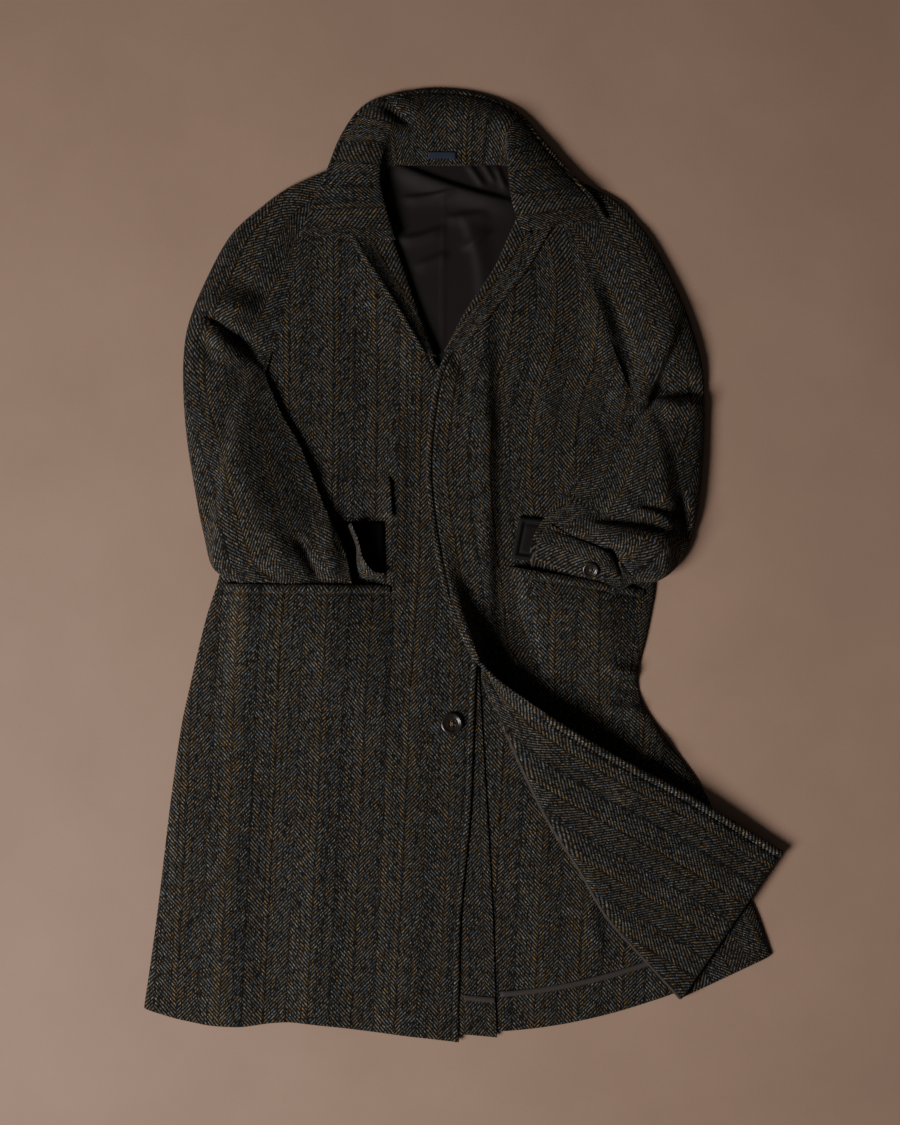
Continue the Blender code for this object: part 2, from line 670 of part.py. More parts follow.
def cuff_tab_points(sleeve, across, rows):
    """A pointed tab on the cuff, from the sleeve's own surface, moved out."""
    first, last, start, tip = CUFF_TAB
    turn = np.linspace(start, tip, across)[None, :]
    narrow = 1 - CUFF_TAB_NARROW * rise(turn, tip - CUFF_TAB_POINT, tip)
    half = np.linspace(-0.5, 0.5, rows)[:, None] * (last - first)
    place = (first + last) / 2 + half * narrow
    return on_sheet(sleeve, place, np.broadcast_to(turn, place.shape), -(TWEED + REST))


def patch_on(points, place, distance, columns, rows):
    """A small patch on a sheet, between shares of its two directions."""
    first, last, start, end = place
    down, turn = np.meshgrid(np.linspace(first, last, rows), np.linspace(start, end, columns), indexing="ij")
    return on_sheet(points, down, turn, distance)


def cuff_strap_points(columns, rows):
    """The right cuff's tab, seen on edge between the sleeve and the pocket's corner."""
    path = np.array(CUFF_STRAP_PATH, float)
    at = np.linspace(0, 1, columns)
    x = through(path[:, 0], at)[None, :]
    y = through(path[:, 1], at)[None, :]
    up = np.linspace(0, 1, rows)[:, None]
    foot = right_height(x, y) + TWEED * 1.5 + REST + LINING + 3 * SEAM
    z = foot + up * CUFF_STRAP_HEIGHT * (1 - 0.5 * rise(at, 0.5, 1)[None, :])
    return np.stack([x + 3.5 * up, y + 1.5 * up, z], axis=2)


def clear_scene():
    for old in list(bpy.data.objects):
        bpy.data.objects.remove(old)


def new_collection(name):
    made = bpy.data.collections.new(name)
    bpy.context.scene.collection.children.link(made)
    return made


def build():
    clear_scene()
    coat = new_collection("raglan_coat")
    tweed = material("herringbone_tweed", TWEED_COLOUR, 0.95)
    satin = material("brown_lining", LINING_COLOUR, 0.45)
    tape = material("binding_tape", BINDING_COLOUR, 0.7)
    horn = material("dark_horn", HORN_COLOUR, 0.3)
    navy = material("label_cloth", LABEL_COLOUR, 0.8)

    back_right = back_right_points(9, 2)
    back_left = back_left_points(8, 2)
    sheet("back_right", back_right, TWEED, tweed, coat)
    sheet("back_left", back_left, TWEED, tweed, coat)
    sheet("back_lining", lining_points(11, 11), LINING, satin, coat)

    sheet("front_right", front_right_points(17, 27), TWEED, tweed, coat)
    left = front_left_points(13, 4, 5, 33)
    sheet("front_left", left, TWEED, tweed, coat)
    turned = left[:10, 15:]
    sheet("facing_left_skirt", moved_out(turned, TWEED + SEAM), TWEED, tweed, coat)
    sheet("facing_right", facing_points(FACING_RIGHT, FRONT_RIGHT, -1, right_height, 8, 9), TWEED, tweed, coat)
    sheet("facing_left", facing_points(FACING_LEFT, FRONT_LEFT, 1, left_height, 8, 9), TWEED, tweed, coat)

    right_pocket = pocket_points(POCKET_RIGHT, right_height, POCKET_BULGE_RIGHT, 13, 9)
    left_pocket = pocket_points(POCKET_LEFT, left_height, POCKET_BULGE_LEFT, 11, 8)
    sheet("pocket_right", right_pocket, TWEED, tweed, coat)
    sheet("pocket_left", left_pocket, TWEED, tweed, coat)
    lay = TWEED + REST
    lined = lay + TWEED / 2 + SEAM + LINING / 2
    for name, corners, height, lift in (
        ("flap_right", FLAP_RIGHT, right_height, 0),
        ("flap_left", FLAP_LEFT, left_height, LEFT_FLAP_LIFT),
    ):
        sheet(name, flap_points(corners, height, lay + lift, 9, 4), TWEED, tweed, coat)
        sheet(name + "_lining", flap_points(corners, height, lined + lift, 9, 4), LINING, satin, coat)
    sheet("ticket_flap", flap_points(TICKET_FLAP, right_height, lay, 6, 4), TWEED, tweed, coat)

    sleeve_right = sleeve_points(SLEEVE_RIGHT, FRONT_RIGHT, -1, FOLDS_SLEEVE_RIGHT, under_right_sleeve, 20, 29)
    sleeve_left = sleeve_points(SLEEVE_LEFT, FRONT_LEFT, 1, FOLDS_SLEEVE_LEFT, under_left_sleeve, 20, 29)
    sheet("sleeve_right", sleeve_right, TWEED, tweed, coat)
    sheet("sleeve_left", sleeve_left, TWEED, tweed, coat)
    sheet("cuff_tab_left", cuff_tab_points(sleeve_left, 9, 4), TWEED, tweed, coat)
    sheet("cuff_tab_right", cuff_strap_points(7, 3), TWEED, tweed, coat)
    collar = collar_points(13, 31)
    sheet("collar", collar, TWEED, tweed, coat)
    label = patch_on(collar, NECK_LABEL, -(TWEED / 2 + SEAM + LINING), 4, 4)
    sheet("neck_label", label, LINING, navy, coat)

    sheet("hem_binding_right", binding_points(back_right, VENT_RAISE, *HEM_BINDING_RIGHT, 5), LINING, tape, coat)
    sheet("hem_binding_left", binding_points(back_left, 0, *HEM_BINDING_LEFT, 9), LINING, tape, coat)

    x, y = COAT_BUTTON_AT
    seat = float(right_height(np.array(x), np.array(y))) + TWEED / 2 + REST
    button("coat_button", COAT_BUTTON, (x, y, seat), (0, 0, 1), horn, coat)
    down, turn = CUFF_BUTTON_AT
    one = np.array([[down]]), np.array([[turn]])
    wall = on_sheet(sleeve_left, *one, 0)[0, 0]
    seat = on_sheet(sleeve_left, *one, -(1.5 * TWEED + REST + 2.5 * SEAM))[0, 0]
    button("cuff_button_left", CUFF_BUTTON, seat, seat - wall, horn, coat)


build()
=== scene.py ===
"""Raglan overcoat in herringbone tweed, laid flat on its back, and its studio stage.

The cuffs are tucked into the patch pockets and the lower corner of the left front is turned back.
Right and left are the wearer's. The coat lies on the plane z = 0 with its collar towards +Y.
Tables are in millimetres on the floor plan, from the centre of the coat's outline.
"""

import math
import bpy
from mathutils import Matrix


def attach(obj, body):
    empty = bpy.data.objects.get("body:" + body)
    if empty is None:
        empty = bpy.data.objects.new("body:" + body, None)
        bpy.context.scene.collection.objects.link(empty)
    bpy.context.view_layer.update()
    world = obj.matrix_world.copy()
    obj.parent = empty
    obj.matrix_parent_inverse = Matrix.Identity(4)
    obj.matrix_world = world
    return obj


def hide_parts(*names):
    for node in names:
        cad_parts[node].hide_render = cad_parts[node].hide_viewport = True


bl_info = {
    "name": "Herringbone raglan coat",
    "version": (1, 0, 0),
    "blender": (4, 5, 0),
    "location": "3D View > Sidebar > Coat",
    "description": "Makes a raglan overcoat in herringbone tweed, laid flat, and its studio stage",
    "category": "Add Mesh",
}

from collections import namedtuple
from functools import lru_cache

import bmesh
import bpy
import numpy as np
from bpy.props import FloatProperty, FloatVectorProperty, PointerProperty
from mathutils import Vector

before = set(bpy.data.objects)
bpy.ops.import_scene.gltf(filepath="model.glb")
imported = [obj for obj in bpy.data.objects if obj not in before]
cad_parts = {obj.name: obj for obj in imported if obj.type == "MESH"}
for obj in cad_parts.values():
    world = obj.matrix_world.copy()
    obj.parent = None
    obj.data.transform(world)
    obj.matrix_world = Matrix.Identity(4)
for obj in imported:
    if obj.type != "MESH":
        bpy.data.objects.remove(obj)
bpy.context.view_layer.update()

MM = 0.001
BODY = "root"
CUT_MAP = "cut"
LEAST_CUT = 0.0105
COLUMN_ENDS = 24.0
TWILL_REPEAT = 4.0
STRIPE_END = 20.0

# Wall thicknesses and heights, in millimetres
TWEED = 2.4
LINING = 1.0
SEAM = 0.3
REST = 0.6
BACK_MID = TWEED / 2
LINING_MID = 3.0
FRONT_MID = 7.0
OVERLAP_STEP = 3.4
SIDE_TURN = 16.0
SIDE_FOOT = 0.5
SIDE_COLUMNS = (0.0, 0.6, 1.2, 2.4, 4.0, 6.2, 9.0, 12.6, 17.0)
SIDE_INSET = 9.0
VENT_RAISE = TWEED + SEAM
VENT_CLIMB = (50.0, 66.0)
VENT_CLOSES = (-116.0, -70.0)
FLAP_STACK = 6.2
SLEEVE_FOLD = 3.8
SLEEVE_SEAM = 1.9
RAGLAN_GAP = 0.3
SLEEVE_RISE = (-0.08, 0.6)
SLEEVE_LAY = REST + 0.4
POCKET_BULGE = 18.0
LEFT_FLAP_LIFT = 1.2
FACING_TURN = 3.0
FACING_LENGTH = 150.0
FACING_WIDTH = 30.0
HEM_DEPTH = 47.0
HEM_PLY = 1.6
HEM_STEP = (HEM_DEPTH - 2, HEM_DEPTH + 2)
BINDING_WIDTH = 7.0
FACING_TAPE = 3.4
FACING_SEAM = 10.0
FACING_SINK = 3.0
FRONT_PUFF = 1.6
RIGHT_FACING_PUFF = 2.2
LEFT_FACING_PUFF = 1.0
RIGHT_FLAP_PUFF = 0.15
LEFT_FLAP_PUFF = 1.0
COAT_BUTTON = 28.0
CUFF_BUTTON = 20.0

# A button's thickness to its diameter, its holes and dish, and its turned outline from the back to the face
BUTTON_THICK = 0.16
HOLE_AT = 0.17
BUTTON_DISH = 0.62
BUTTON_PROFILE = (
    (0.0, 0.0), (0.72, 0.0), (0.9, 0.14), (0.97, 0.34), (1.0, 0.6), (0.97, 0.84), (0.9, 0.97),
    (0.83, 1.0), (0.76, 0.95), (0.69, 0.82), (0.62, 0.72), (0.54, 0.66), (0.3, 0.62), (0.0, BUTTON_DISH),
)

# Distances from a finished edge at which its turn and its stitching need points
EDGE_STEPS = (0.0, 0.45, 1.1, 2.0, 3.2, 4.8, 6.3, 7.5, 8.7, 10.4, 13.0)
EDGE_ROUND = 3.2
STITCH_INSET = 8.0
ALL_SIDES = ("first", "last", "foot", "head")

# How sewn edges settle, free ones curl and stitched ones puff up
SEWN_SETTLE = 2.8
SEWN_REACH = 16.0
TICKET_CURL = 5.0
TICKET_REACH = 14.0
SEWN_SINK = 0.5
MOUTH_BAND = 11.0
MOUTH_PUFF = 3.0
STITCH_SINK = 1.2
EDGE_PUFF = 1.1
STITCH_SPREAD = 1.7

# Shares of an edge's length that are top stitched
RIGHT_FRONT_SEWN = (0.01, 0.62)
LEFT_FRONT_SEWN = (0.43, 0.72)
SKIRT_FACING_SEWN = (0.01, 0.9)
COLLAR_SEWN = (0.02, 0.98)
PATCH_SIDE_SEWN = (0.0, 0.96)
PATCH_END_SEWN = (0.03, 0.97)

# The floor, and the key light's place and aim, in metres, and its spread, in degrees
FLOOR_REACH = 6.0
FLOOR_LEVEL = -0.0004
KEY_PLACE = (-2.12, -1.38, 2.2)
KEY_AIM = (-0.1, -0.05, 0.0)
KEY_SPREAD = 110

BackRow = namedtuple("BackRow", "side_y seam_x seam_y")
PanelRow = namedtuple("PanelRow", "side_x side_y edge_x edge_y drop")
LiningRow = namedtuple("LiningRow", "side_x side_y edge_x edge_y")
TurnRow = namedtuple("TurnRow", "side_x side_y fold_x fold_y edge_x edge_y roll lift drop")
SleeveRow = namedtuple("SleeveRow", "inner_x inner_y outer_x outer_y crown raglan over")
CollarRow = namedtuple("CollarRow", "neck_x neck_y neck_z roll_x roll_y roll_z out_x out_y out_z")
StripRow = namedtuple("StripRow", "roll_y width shift")
Corners = namedtuple("Corners", "left_top right_top left_foot right_foot")
Fold = namedtuple("Fold", "x0 y0 x1 y1 left right height bow")
HemRow = namedtuple("HemRow", "share sag")

# Right front, from the hem to the neck. The side is the side seam up to the armpit, then the raglan seam.
FRONT_RIGHT = (
    PanelRow(-401, -558, -5, -600, 1.0),
    PanelRow(-391, -490, -4, -520, 1.0),
    PanelRow(-382, -422, -2, -442, 1.0),
    PanelRow(-367, -296, 10, -312, 1.0),
    PanelRow(-354, -205, 14, -215, 1.0),
    PanelRow(-340, -140, 17, -145, 1.0),
    PanelRow(-323, -69, 22, -72, 1.0),
    PanelRow(-305, -10, 28, -10, 1.0),
    PanelRow(-290, 66, 30, 66, 1.0),
    PanelRow(-277, 139, 29, 139, 1.0),
    PanelRow(-262, 205, 10, 208, 0.3),
    PanelRow(-249, 240, -24, 240, 0.0),
    PanelRow(-237, 275, -45, 280, 0.0),
    PanelRow(-224, 325, -63, 328, 0.0),
    PanelRow(-212, 370, -79, 375, 0.0),
    PanelRow(-203, 412, -93, 414, 0.0),
    PanelRow(-158, 448, -106, 450, 0.0),
)
HEM_RIGHT = (
    HemRow(0.0, 0.0),
    HemRow(0.1, 8.0),
    HemRow(0.2, 12.0),
    HemRow(0.31, 10.0),
    HemRow(0.4, 1.0),
    HemRow(0.46, -3.0),
    HemRow(0.6, -3.0),
    HemRow(0.78, -1.5),
    HemRow(1.0, 0.0),
)
HEM_SAG_REACH = 130.0
# Centre front's grain line on the right front: places along the coat, then across it
GRAIN_LINE = ((-600, -300, -150, 0, 250, 450), (-5, 10, 16, 27, 30, 30))

# Left front. Below the top of the turn-back a row runs to the fold, rolls over it and comes back to the edge
FRONT_LEFT = (
    TurnRow(388, -491, 273, -545, 401, -359, 9, 5, 1.0),
    TurnRow(370, -440, 222, -490, 349, -327, 13, 9, 1.0),
    TurnRow(350, -395, 179, -441, 290, -291, 18, 15, 1.0),
    TurnRow(325, -335, 145, -383, 238, -262, 22, 20, 1.0),
    TurnRow(300, -280, 107, -324, 186, -234, 24, 27, 1.0),
    TurnRow(262, -228, 71, -252, 130, -200, 23, 34, 1.0),
    TurnRow(230, -182, 41, -184, 84, -170, 19, 39, 1.0),
    TurnRow(219, -150, 24, -141, 48, -146, 14, 41, 1.0),
    TurnRow(222, -122, 32, -106, 14, -117, 8, 40, 1.0),
    TurnRow(229, -94, 28, -80, -3, -87, 3, 33, 1.0),
    TurnRow(236, -60, 17, -45, -20, -48, 1, 20, 1.0),
    TurnRow(242, -20, 2, 0, -32, 0, 0, 5, 1.0),
    TurnRow(243, 50, -9, 60, -42, 60, 0, 0, 1.0),
    TurnRow(240, 110, -14, 120, -47, 120, 0, 0, 1.0),
    TurnRow(228, 170, -10, 180, -43, 180, 0, 0, 1.0),
    TurnRow(213, 207, 0, 235, -33, 240, 0, 0, 0.3),
    TurnRow(200, 241, 14, 280, -13, 280, 0, 0, 0.0),
    TurnRow(184, 285, 36, 325, 9, 321, 0, 0, 0.0),
    TurnRow(163, 350, 66, 378, 43, 372, 0, 0, 0.0),
    TurnRow(142, 408, 84, 422, 64, 418, 0, 0, 0.0),
    TurnRow(114, 446, 94, 452, 80, 452, 0, 0, 0.0),
)
SKIRT_FACING_TOP = 9 / 32
CREST = (0.62, 0.7, 0.3)
CREST_ROWS = (0.33, 0.42)
OVERLAP_RAMP = (8.0, 28.0)
OVERLAP_STARTS = (-190.0, -140.0)

# Where the left front's columns leave its slanting neck edge, and the line they are then measured from
LAPEL_ROWS = (200, 450)
LAPEL_LINE = -45

# Back halves, from the hem to the neck. The right half lies over the left one at the vent.
BACK_RIGHT = (
    BackRow(-555, 43, -594),
    BackRow(-420, 38, -440),
    BackRow(-296, 31, -310),
    BackRow(-142, 22, -160),
    BackRow(-105, 20, -118),
    BackRow(-12, 13, -25),
    BackRow(139, 0, 139),
    BackRow(205, -5, 206),
    BackRow(272, -11, 290),
    BackRow(400, -18, 400),
    BackRow(446, -21, 450),
)
BACK_LEFT = (
    BackRow(-486, -2, -588),
    BackRow(-395, -8, -440),
    BackRow(-280, -14, -310),
    BackRow(-150, -20, -166),
    BackRow(-120, 22, -138),
    BackRow(-20, 14, -25),
    BackRow(110, 1, 139),
    BackRow(205, -4, 206),
    BackRow(272, -10, 290),
    BackRow(400, -17, 400),
    BackRow(444, -20, 450),
)
BACK_LEFT_HEM_BOW = -27.0
BACK_NECK_RIGHT = -98
BACK_NECK_LEFT = 58
BACK_NECK_TOP = 509
BACK_FLARE_TOP = 400
BACK_FLARE_RIGHT = -0.03
BACK_FLARE_LEFT = 0.05

BACK_LINING = (
    LiningRow(-150, 110, 128, 110),
    LiningRow(-150, 250, 132, 250),
    LiningRow(-142, 380, 120, 380),
    LiningRow(-116, 450, 92, 450),
    LiningRow(-92, 507, 60, 507),
)

# Sleeves, from the neck to the cuff. Inner is the raglan seam, then the underarm seam. Outer is the fold.
SLEEVE_RIGHT = (
    SleeveRow(-153, 454, -159, 500, 2.0, 1.0, 0.0),
    SleeveRow(-205, 413, -219, 473, 4.5, 1.0, 0.0),
    SleeveRow(-214, 370, -254, 448, 7.0, 1.0, 0.0),
    SleeveRow(-226, 325, -291, 414, 11.0, 1.0, 0.0),
    SleeveRow(-239, 276, -322, 358, 16.0, 1.0, 0.0),
    SleeveRow(-250, 250, -343, 306, 17.0, 0.4, 0.6),
    SleeveRow(-240, 218, -350, 262, 17.0, 0.0, 1.0),
    SleeveRow(-226, 186, -350, 208, 20.0, 0.0, 1.0),
    SleeveRow(-206, 152, -345, 152, 23.0, 0.0, 1.0),
    SleeveRow(-188, 110, -336, 96, 25.0, 0.0, 1.0),
    SleeveRow(-170, 66, -326, 44, 25.0, 0.0, 1.0),
    SleeveRow(-150, 22, -311, -4, 22.0, 0.0, 1.0),
    SleeveRow(-141, -16, -275, -24, 8.5, 0.0, 0.9),
    SleeveRow(-141, -40, -257, -46, 5.0, 0.0, 0.7),
    SleeveRow(-144, -58, -246, -62, 4.0, 0.0, 0.7),
)
SLEEVE_LEFT = (
    SleeveRow(116, 452, 140, 486, 2.0, 1.0, 0.0),
    SleeveRow(143, 409, 193, 456, 4.5, 1.0, 0.0),
    SleeveRow(153, 380, 216, 432, 7.0, 1.0, 0.0),
    SleeveRow(165, 350, 239, 402, 11.0, 1.0, 0.0),
    SleeveRow(186, 286, 276, 328, 16.0, 1.0, 0.0),
    SleeveRow(203, 241, 297, 262, 18.0, 0.5, 0.6),
    SleeveRow(212, 208, 302, 214, 18.0, 0.0, 1.0),
    SleeveRow(201, 178, 302, 164, 20.0, 0.0, 1.0),
    SleeveRow(178, 148, 299, 112, 24.0, 0.0, 1.0),
    SleeveRow(152, 117, 292, 58, 27.0, 0.0, 1.0),
    SleeveRow(126, 88, 275, 8, 27.0, 0.0, 1.0),
    SleeveRow(102, 58, 245, -18, 22.0, 0.0, 1.0),
    SleeveRow(86, 27, 214, -21, 12.0, 0.0, 1.0),
    SleeveRow(86, -2, 192, -36, 6.5, 0.0, 0.85),
    SleeveRow(90, -22, 188, -50, 4.0, 0.0, 0.7),
)

# What a sleeve lies on: the flaps end in two steps, and nothing is beyond the side seam
SEAT_STEPS = ((0.55, 60, 100), (0.45, 116, 150))
SEAT_SIDE = (-28, -7)

# Rows over which a sleeve's middle line is smoothed for its flat cut
CUT_WINDOW = 41

# Collar, round the neck from the right front to the left front
COLLAR = (
    CollarRow(-100, 404, 9.1, -88, 408, 18, -205, 413, 14),
    CollarRow(-107, 445, 9.1, -101, 452, 21, -190, 450, 15),
    CollarRow(-104, 478, 7.0, -107, 491, 23, -170, 498, 14),
    CollarRow(-92, 499, 5.4, -98, 537, 24, -152, 542, 9),
    CollarRow(-72, 502, 5.0, -82, 556, 23, -122, 580, 4),
    CollarRow(-48, 502, 5.0, -55, 560, 20, -67, 596, 2.6),
    CollarRow(-20, 502, 5.0, -22, 560, 18, -23, 599, 2.2),
    CollarRow(15, 502, 5.0, 18, 555, 20, 28, 591, 2.6),
    CollarRow(45, 503, 5.4, 52, 545, 25, 70, 569, 5),
    CollarRow(64, 497, 6.5, 57, 513, 29, 104, 530, 10),
    CollarRow(73, 474, 8.0, 60, 479, 30, 140, 488, 14),
    CollarRow(81, 442, 9.1, 66, 447, 27, 165, 460, 15),
    CollarRow(88, 415, 9.1, 78, 417, 23, 182, 433, 14),
)
COLLAR_CROWN = 5.0
COLLAR_LENGTH = 900.0
COLLAR_WIDTH = 150.0

# Facings that show where the fronts open at the neck, from the roll line outwards
FACING_RIGHT = (
    StripRow(262, 15, 2),
    StripRow(286, 18, 1),
    StripRow(326, 27, 0),
    StripRow(372, 41, 0),
    StripRow(398, 48, 0),
    StripRow(426, 54, 0),
)
FACING_LEFT = (
    StripRow(268, 18, 2),
    StripRow(286, 22, 1),
    StripRow(322, 31, -2),
    StripRow(372, 36, -4),
    StripRow(407, 42, -2),
    StripRow(436, 46, -2),
)
FACING_ROLL = ((-1.0, -0.2), (-1.2, 0.5), (-0.6, 1.25), (0.3, 1.55))

POCKET_RIGHT = Corners((-300, -23), (-92, -25), (-316, -226), (-79, -231))
POCKET_LEFT = Corners((57, -1), (227, -30), (102, -186), (203, -168))
FLAP_RIGHT = Corners((-262, 52), (-100, 54), (-262, -12), (-98, -13))
FLAP_LEFT = Corners((71, 61), (205, 47), (60, 8), (205, -10))
TICKET_FLAP = Corners((-206, 116), (-92, 116), (-206, 60), (-88, 60))
CUFF_STRAP_PATH = ((-144, 50), (-135, 28), (-129, 6), (-116, -10), (-101, -13))
CUFF_STRAP_HEIGHT = 21.0
CUFF_STRAP_LEAN = (4.5, 2.5)
CUFF_STRAP_SPREAD = (12.0, 4.8)

COAT_BUTTON_AT = (-14, -199)
NECK_LABEL = (0.4375, 0.526, 0.07, 0.135)
CUFF_TAB = (0.79, 0.90, 0.07, 0.385)
CUFF_BUTTON_AT = (0.868, 0.279)
HEM_BINDING_RIGHT = (1, 40)
HEM_BINDING_LEFT = (47, 290)

# Ridges and troughs: left and right are the widths on either hand, going from the first point to the last
FOLDS_RIGHT = (
    Fold(-78, 190, -82, -30, 9, 17, 4.6, 0),
    Fold(-40, 242, -136, 410, 30, 13, 11.0, 0),
    Fold(-150, 390, -172, 250, 18, 18, 2.0, 0),
    Fold(-176, -260, -182, -620, 30, 30, 4.0, 0),
    Fold(-292, -320, -304, -620, 26, 26, 4.5, 0),
    Fold(-62, -300, -70, -640, 30, 30, 3.0, 0),
    Fold(-236, -240, -246, -560, 22, 22, -2.0, 0),
)
FOLDS_LEFT = (
    Fold(30, 310, 33, -70, 5, 22, 7.0, 0),
    Fold(160, 365, 216, 190, 14, 24, 9.0, 0),
    Fold(372, -340, 245, -527, 3, 3, -2.0, 0),
    Fold(186, -152, 224, -160, 5, 5, -3.0, 0),
    Fold(178, -130, 226, -139, 10, 6, 8.0, 0),
    Fold(178, -177, 224, -183, 6, 10, 6.0, 0),
    Fold(54, -182, 68, -192, 4, 4, 2.5, 0),
    Fold(46, 330, 44, -50, 12, 5, -2.4, 0),
    Fold(-6, 270, 6, 190, 9, 9, -2.2, 0),
    Fold(108, 350, 104, 130, 17, 17, 3.0, 0),
    Fold(190, -285, 262, -215, 18, 18, 6.0, 0),
    Fold(330, -330, 260, -420, 26, 26, 4.0, 0),
)
FOLDS_SLEEVE_RIGHT = (
    Fold(-324, 314, -270, 270, 5, 4, -9.0, -3),
    Fold(-296, 292, -240, 242, 11, 6, -13.0, -3),
    Fold(-334, 300, -262, 238, 10, 12, 6.0, -3),
    Fold(-330, 294, -312, 250, 7, 7, -6.0, 0),
    Fold(-330, 330, -262, 318, 12, 10, 6.0, 0),
    Fold(-296, 362, -238, 340, 12, 18, -7.0, 0),
    Fold(-318, 176, -250, 60, 22, 22, 4.0, 0),
    Fold(-208, 36, -180, -18, 7, 7, -10.0, 0),
    Fold(-168, 60, -160, -18, 11, 13, 11.0, 0),
    Fold(-262, -2, -226, -18, 6, 6, -6.0, 0),
    Fold(-240, 50, -222, 4, 12, 12, 4.0, 0),
)
FOLDS_SLEEVE_LEFT = (
    Fold(170, 344, 213, 188, 18, 7, -14.0, 0),
    Fold(218, 250, 209, 178, 11, 11, 5.0, 0),
    Fold(236, 212, 300, 216, 26, 5, -20.0, 0),
    Fold(244, 210, 208, 170, 5, 5, -9.0, 0),
    Fold(246, 198, 300, 200, 5, 14, 7.0, 0),
    Fold(271, 312, 224, 192, 4, 22, 9.0, 0),
    Fold(216, 73, 270, 52, 13, 4, -13.0, -6),
    Fold(162, 56, 256, 42, 15, 4, -15.0, -2),
    Fold(170, 38, 262, 28, 9, 16, 8.0, 0),
    Fold(274, 92, 282, 34, 5, 9, -18.0, 0),
    Fold(112, 43, 184, 17, 4, 3, -6.0, 0),
    Fold(180, 25, 199, -14, 10, 4, -13.0, 0),
)
FOLDS_BACK = (
    Fold(164, -428, 173, -492, 4, 11, 6.0, 0),
    Fold(90, -300, 110, -560, 24, 24, 2.5, 0),
    Fold(240, -470, 262, -560, 16, 16, 2.5, 0),
)
FOLDS_COLLAR = (
    Fold(-98, 574, -62, 548, 7, 8, -10.0, 0),
    Fold(-88, 590, -50, 566, 9, 9, 2.5, 0),
    Fold(112, 520, 150, 470, 9, 9, -2.0, 0),
)
FOLDS_LINING = (
    Fold(-88, 506, 66, 456, 3, 16, 7.0, 5),
    Fold(6, 506, 26, 478, 3, 5, 2.6, 0),
    Fold(24, 508, 40, 482, 3, 4, 2.2, 0),
    Fold(42, 502, 54, 474, 3, 5, 2.8, 0),
    Fold(-24, 450, -26, 240, 2, 2, 0.9, 0),
    Fold(-80, 410, -26, 424, 4, 9, 3.0, 3),
    Fold(0, 440, 24, 330, 14, 7, 2.8, -8),
    Fold(-20, 436, 30, 442, 5, 9, 2.6, 0),
    Fold(-74, 462, -14, 470, 3, 9, 2.8, 2),
    Fold(-58, 376, -20, 392, 4, 8, 2.4, 0),
    Fold(2, 396, 34, 420, 8, 3, 2.6, 0),
)


def size(name, description, default, low, high):
    """A length that the panel can change."""
    return FloatProperty(
        name=name, description=description, default=default, min=low, max=high, unit="LENGTH",
    )


def tint(name, description, default):
    """A colour that the panel can change."""
    return FloatVectorProperty(
        name=name, description=description, default=default, subtype="COLOR", min=0, max=1,
    )


class CoatCloth(bpy.types.PropertyGroup):
    """Sizes and colours of the coat's cloths and trims."""

    column_width: size("Herringbone column", "Width of one column of slanting lines", 0.0275, 0.005, 0.06)
    line_pitch: size("Twill line", "Spacing of the slanting lines along the cloth", 0.0050, 0.001, 0.01)
    stitch_length: size("Stitch", "Length of one top stitch", 0.0036, 0.001, 0.01)
    stitch_gap: size("Stitch gap", "Gap between two top stitches", 0.0012, 0.0005, 0.01)
    thread_width: size("Thread", "Width of the sewing thread", 0.0007, 0.0002, 0.002)
    ground: tint("Dark ground", "Yarn between the slanting lines", (0.006, 0.0055, 0.005))
    charcoal: tint("Charcoal yarn", "Darkest yarn of the lines", (0.028, 0.025, 0.020))
    blue_grey: tint("Blue-grey yarn", "Cool yarn of the lines", (0.098, 0.117, 0.136))
    pale_grey: tint("Pale grey yarn", "Lightest yarn of the lines", (0.205, 0.200, 0.182))
    brown: tint("Brown yarn", "Commonest yarn of the lines", (0.135, 0.100, 0.062))
    tan: tint("Tan yarn", "Orange-tan yarn, mostly in thin stripes", (0.25, 0.158, 0.062))
    lining: tint("Lining", "Brown satin of the neck", (0.0135, 0.0095, 0.009))
    flap_lining: tint("Flap lining", "Darker satin of the pocket flaps", (0.0062, 0.0044, 0.0042))
    binding: tint("Binding", "Tape over the raw edges", (0.046, 0.037, 0.032))
    horn: tint("Horn", "Dark horn of the buttons", (0.013, 0.010, 0.0085))
    thread: tint("Thread", "Thread of the top stitching", (0.022, 0.019, 0.016))
    button_thread: tint("Button thread", "Thread through the buttons", (0.20, 0.12, 0.06))
    label: tint("Label", "Navy cloth of the plain neck label", (0.016, 0.022, 0.045))


class CoatStage(bpy.types.PropertyGroup):
    """Floor, light and camera."""

    floor: tint("Floor", "Colour of the plain floor", (0.392, 0.258, 0.193))
    key_power: FloatProperty(
        name="Key light", description="Power of the large soft light", default=42, min=0, unit="POWER",
    )
    key_size: size("Key size", "Breadth of the large soft light", 1.6, 0.1, 10)
    fill: FloatProperty(
        name="Fill", description="Strength of the light from all round", default=0.045, min=0, max=2,
    )
    camera_height: size("Camera height", "Height of the camera over the floor", 2.6, 1, 10)
    camera_across: size("Camera across", "Camera's place across the coat", -0.0164, -1, 1)
    camera_along: size("Camera along", "Camera's place along the coat", 0.0032, -1, 1)
    view_height: size("View height", "Length of floor that the picture takes in", 1.4175, 0.5, 10)


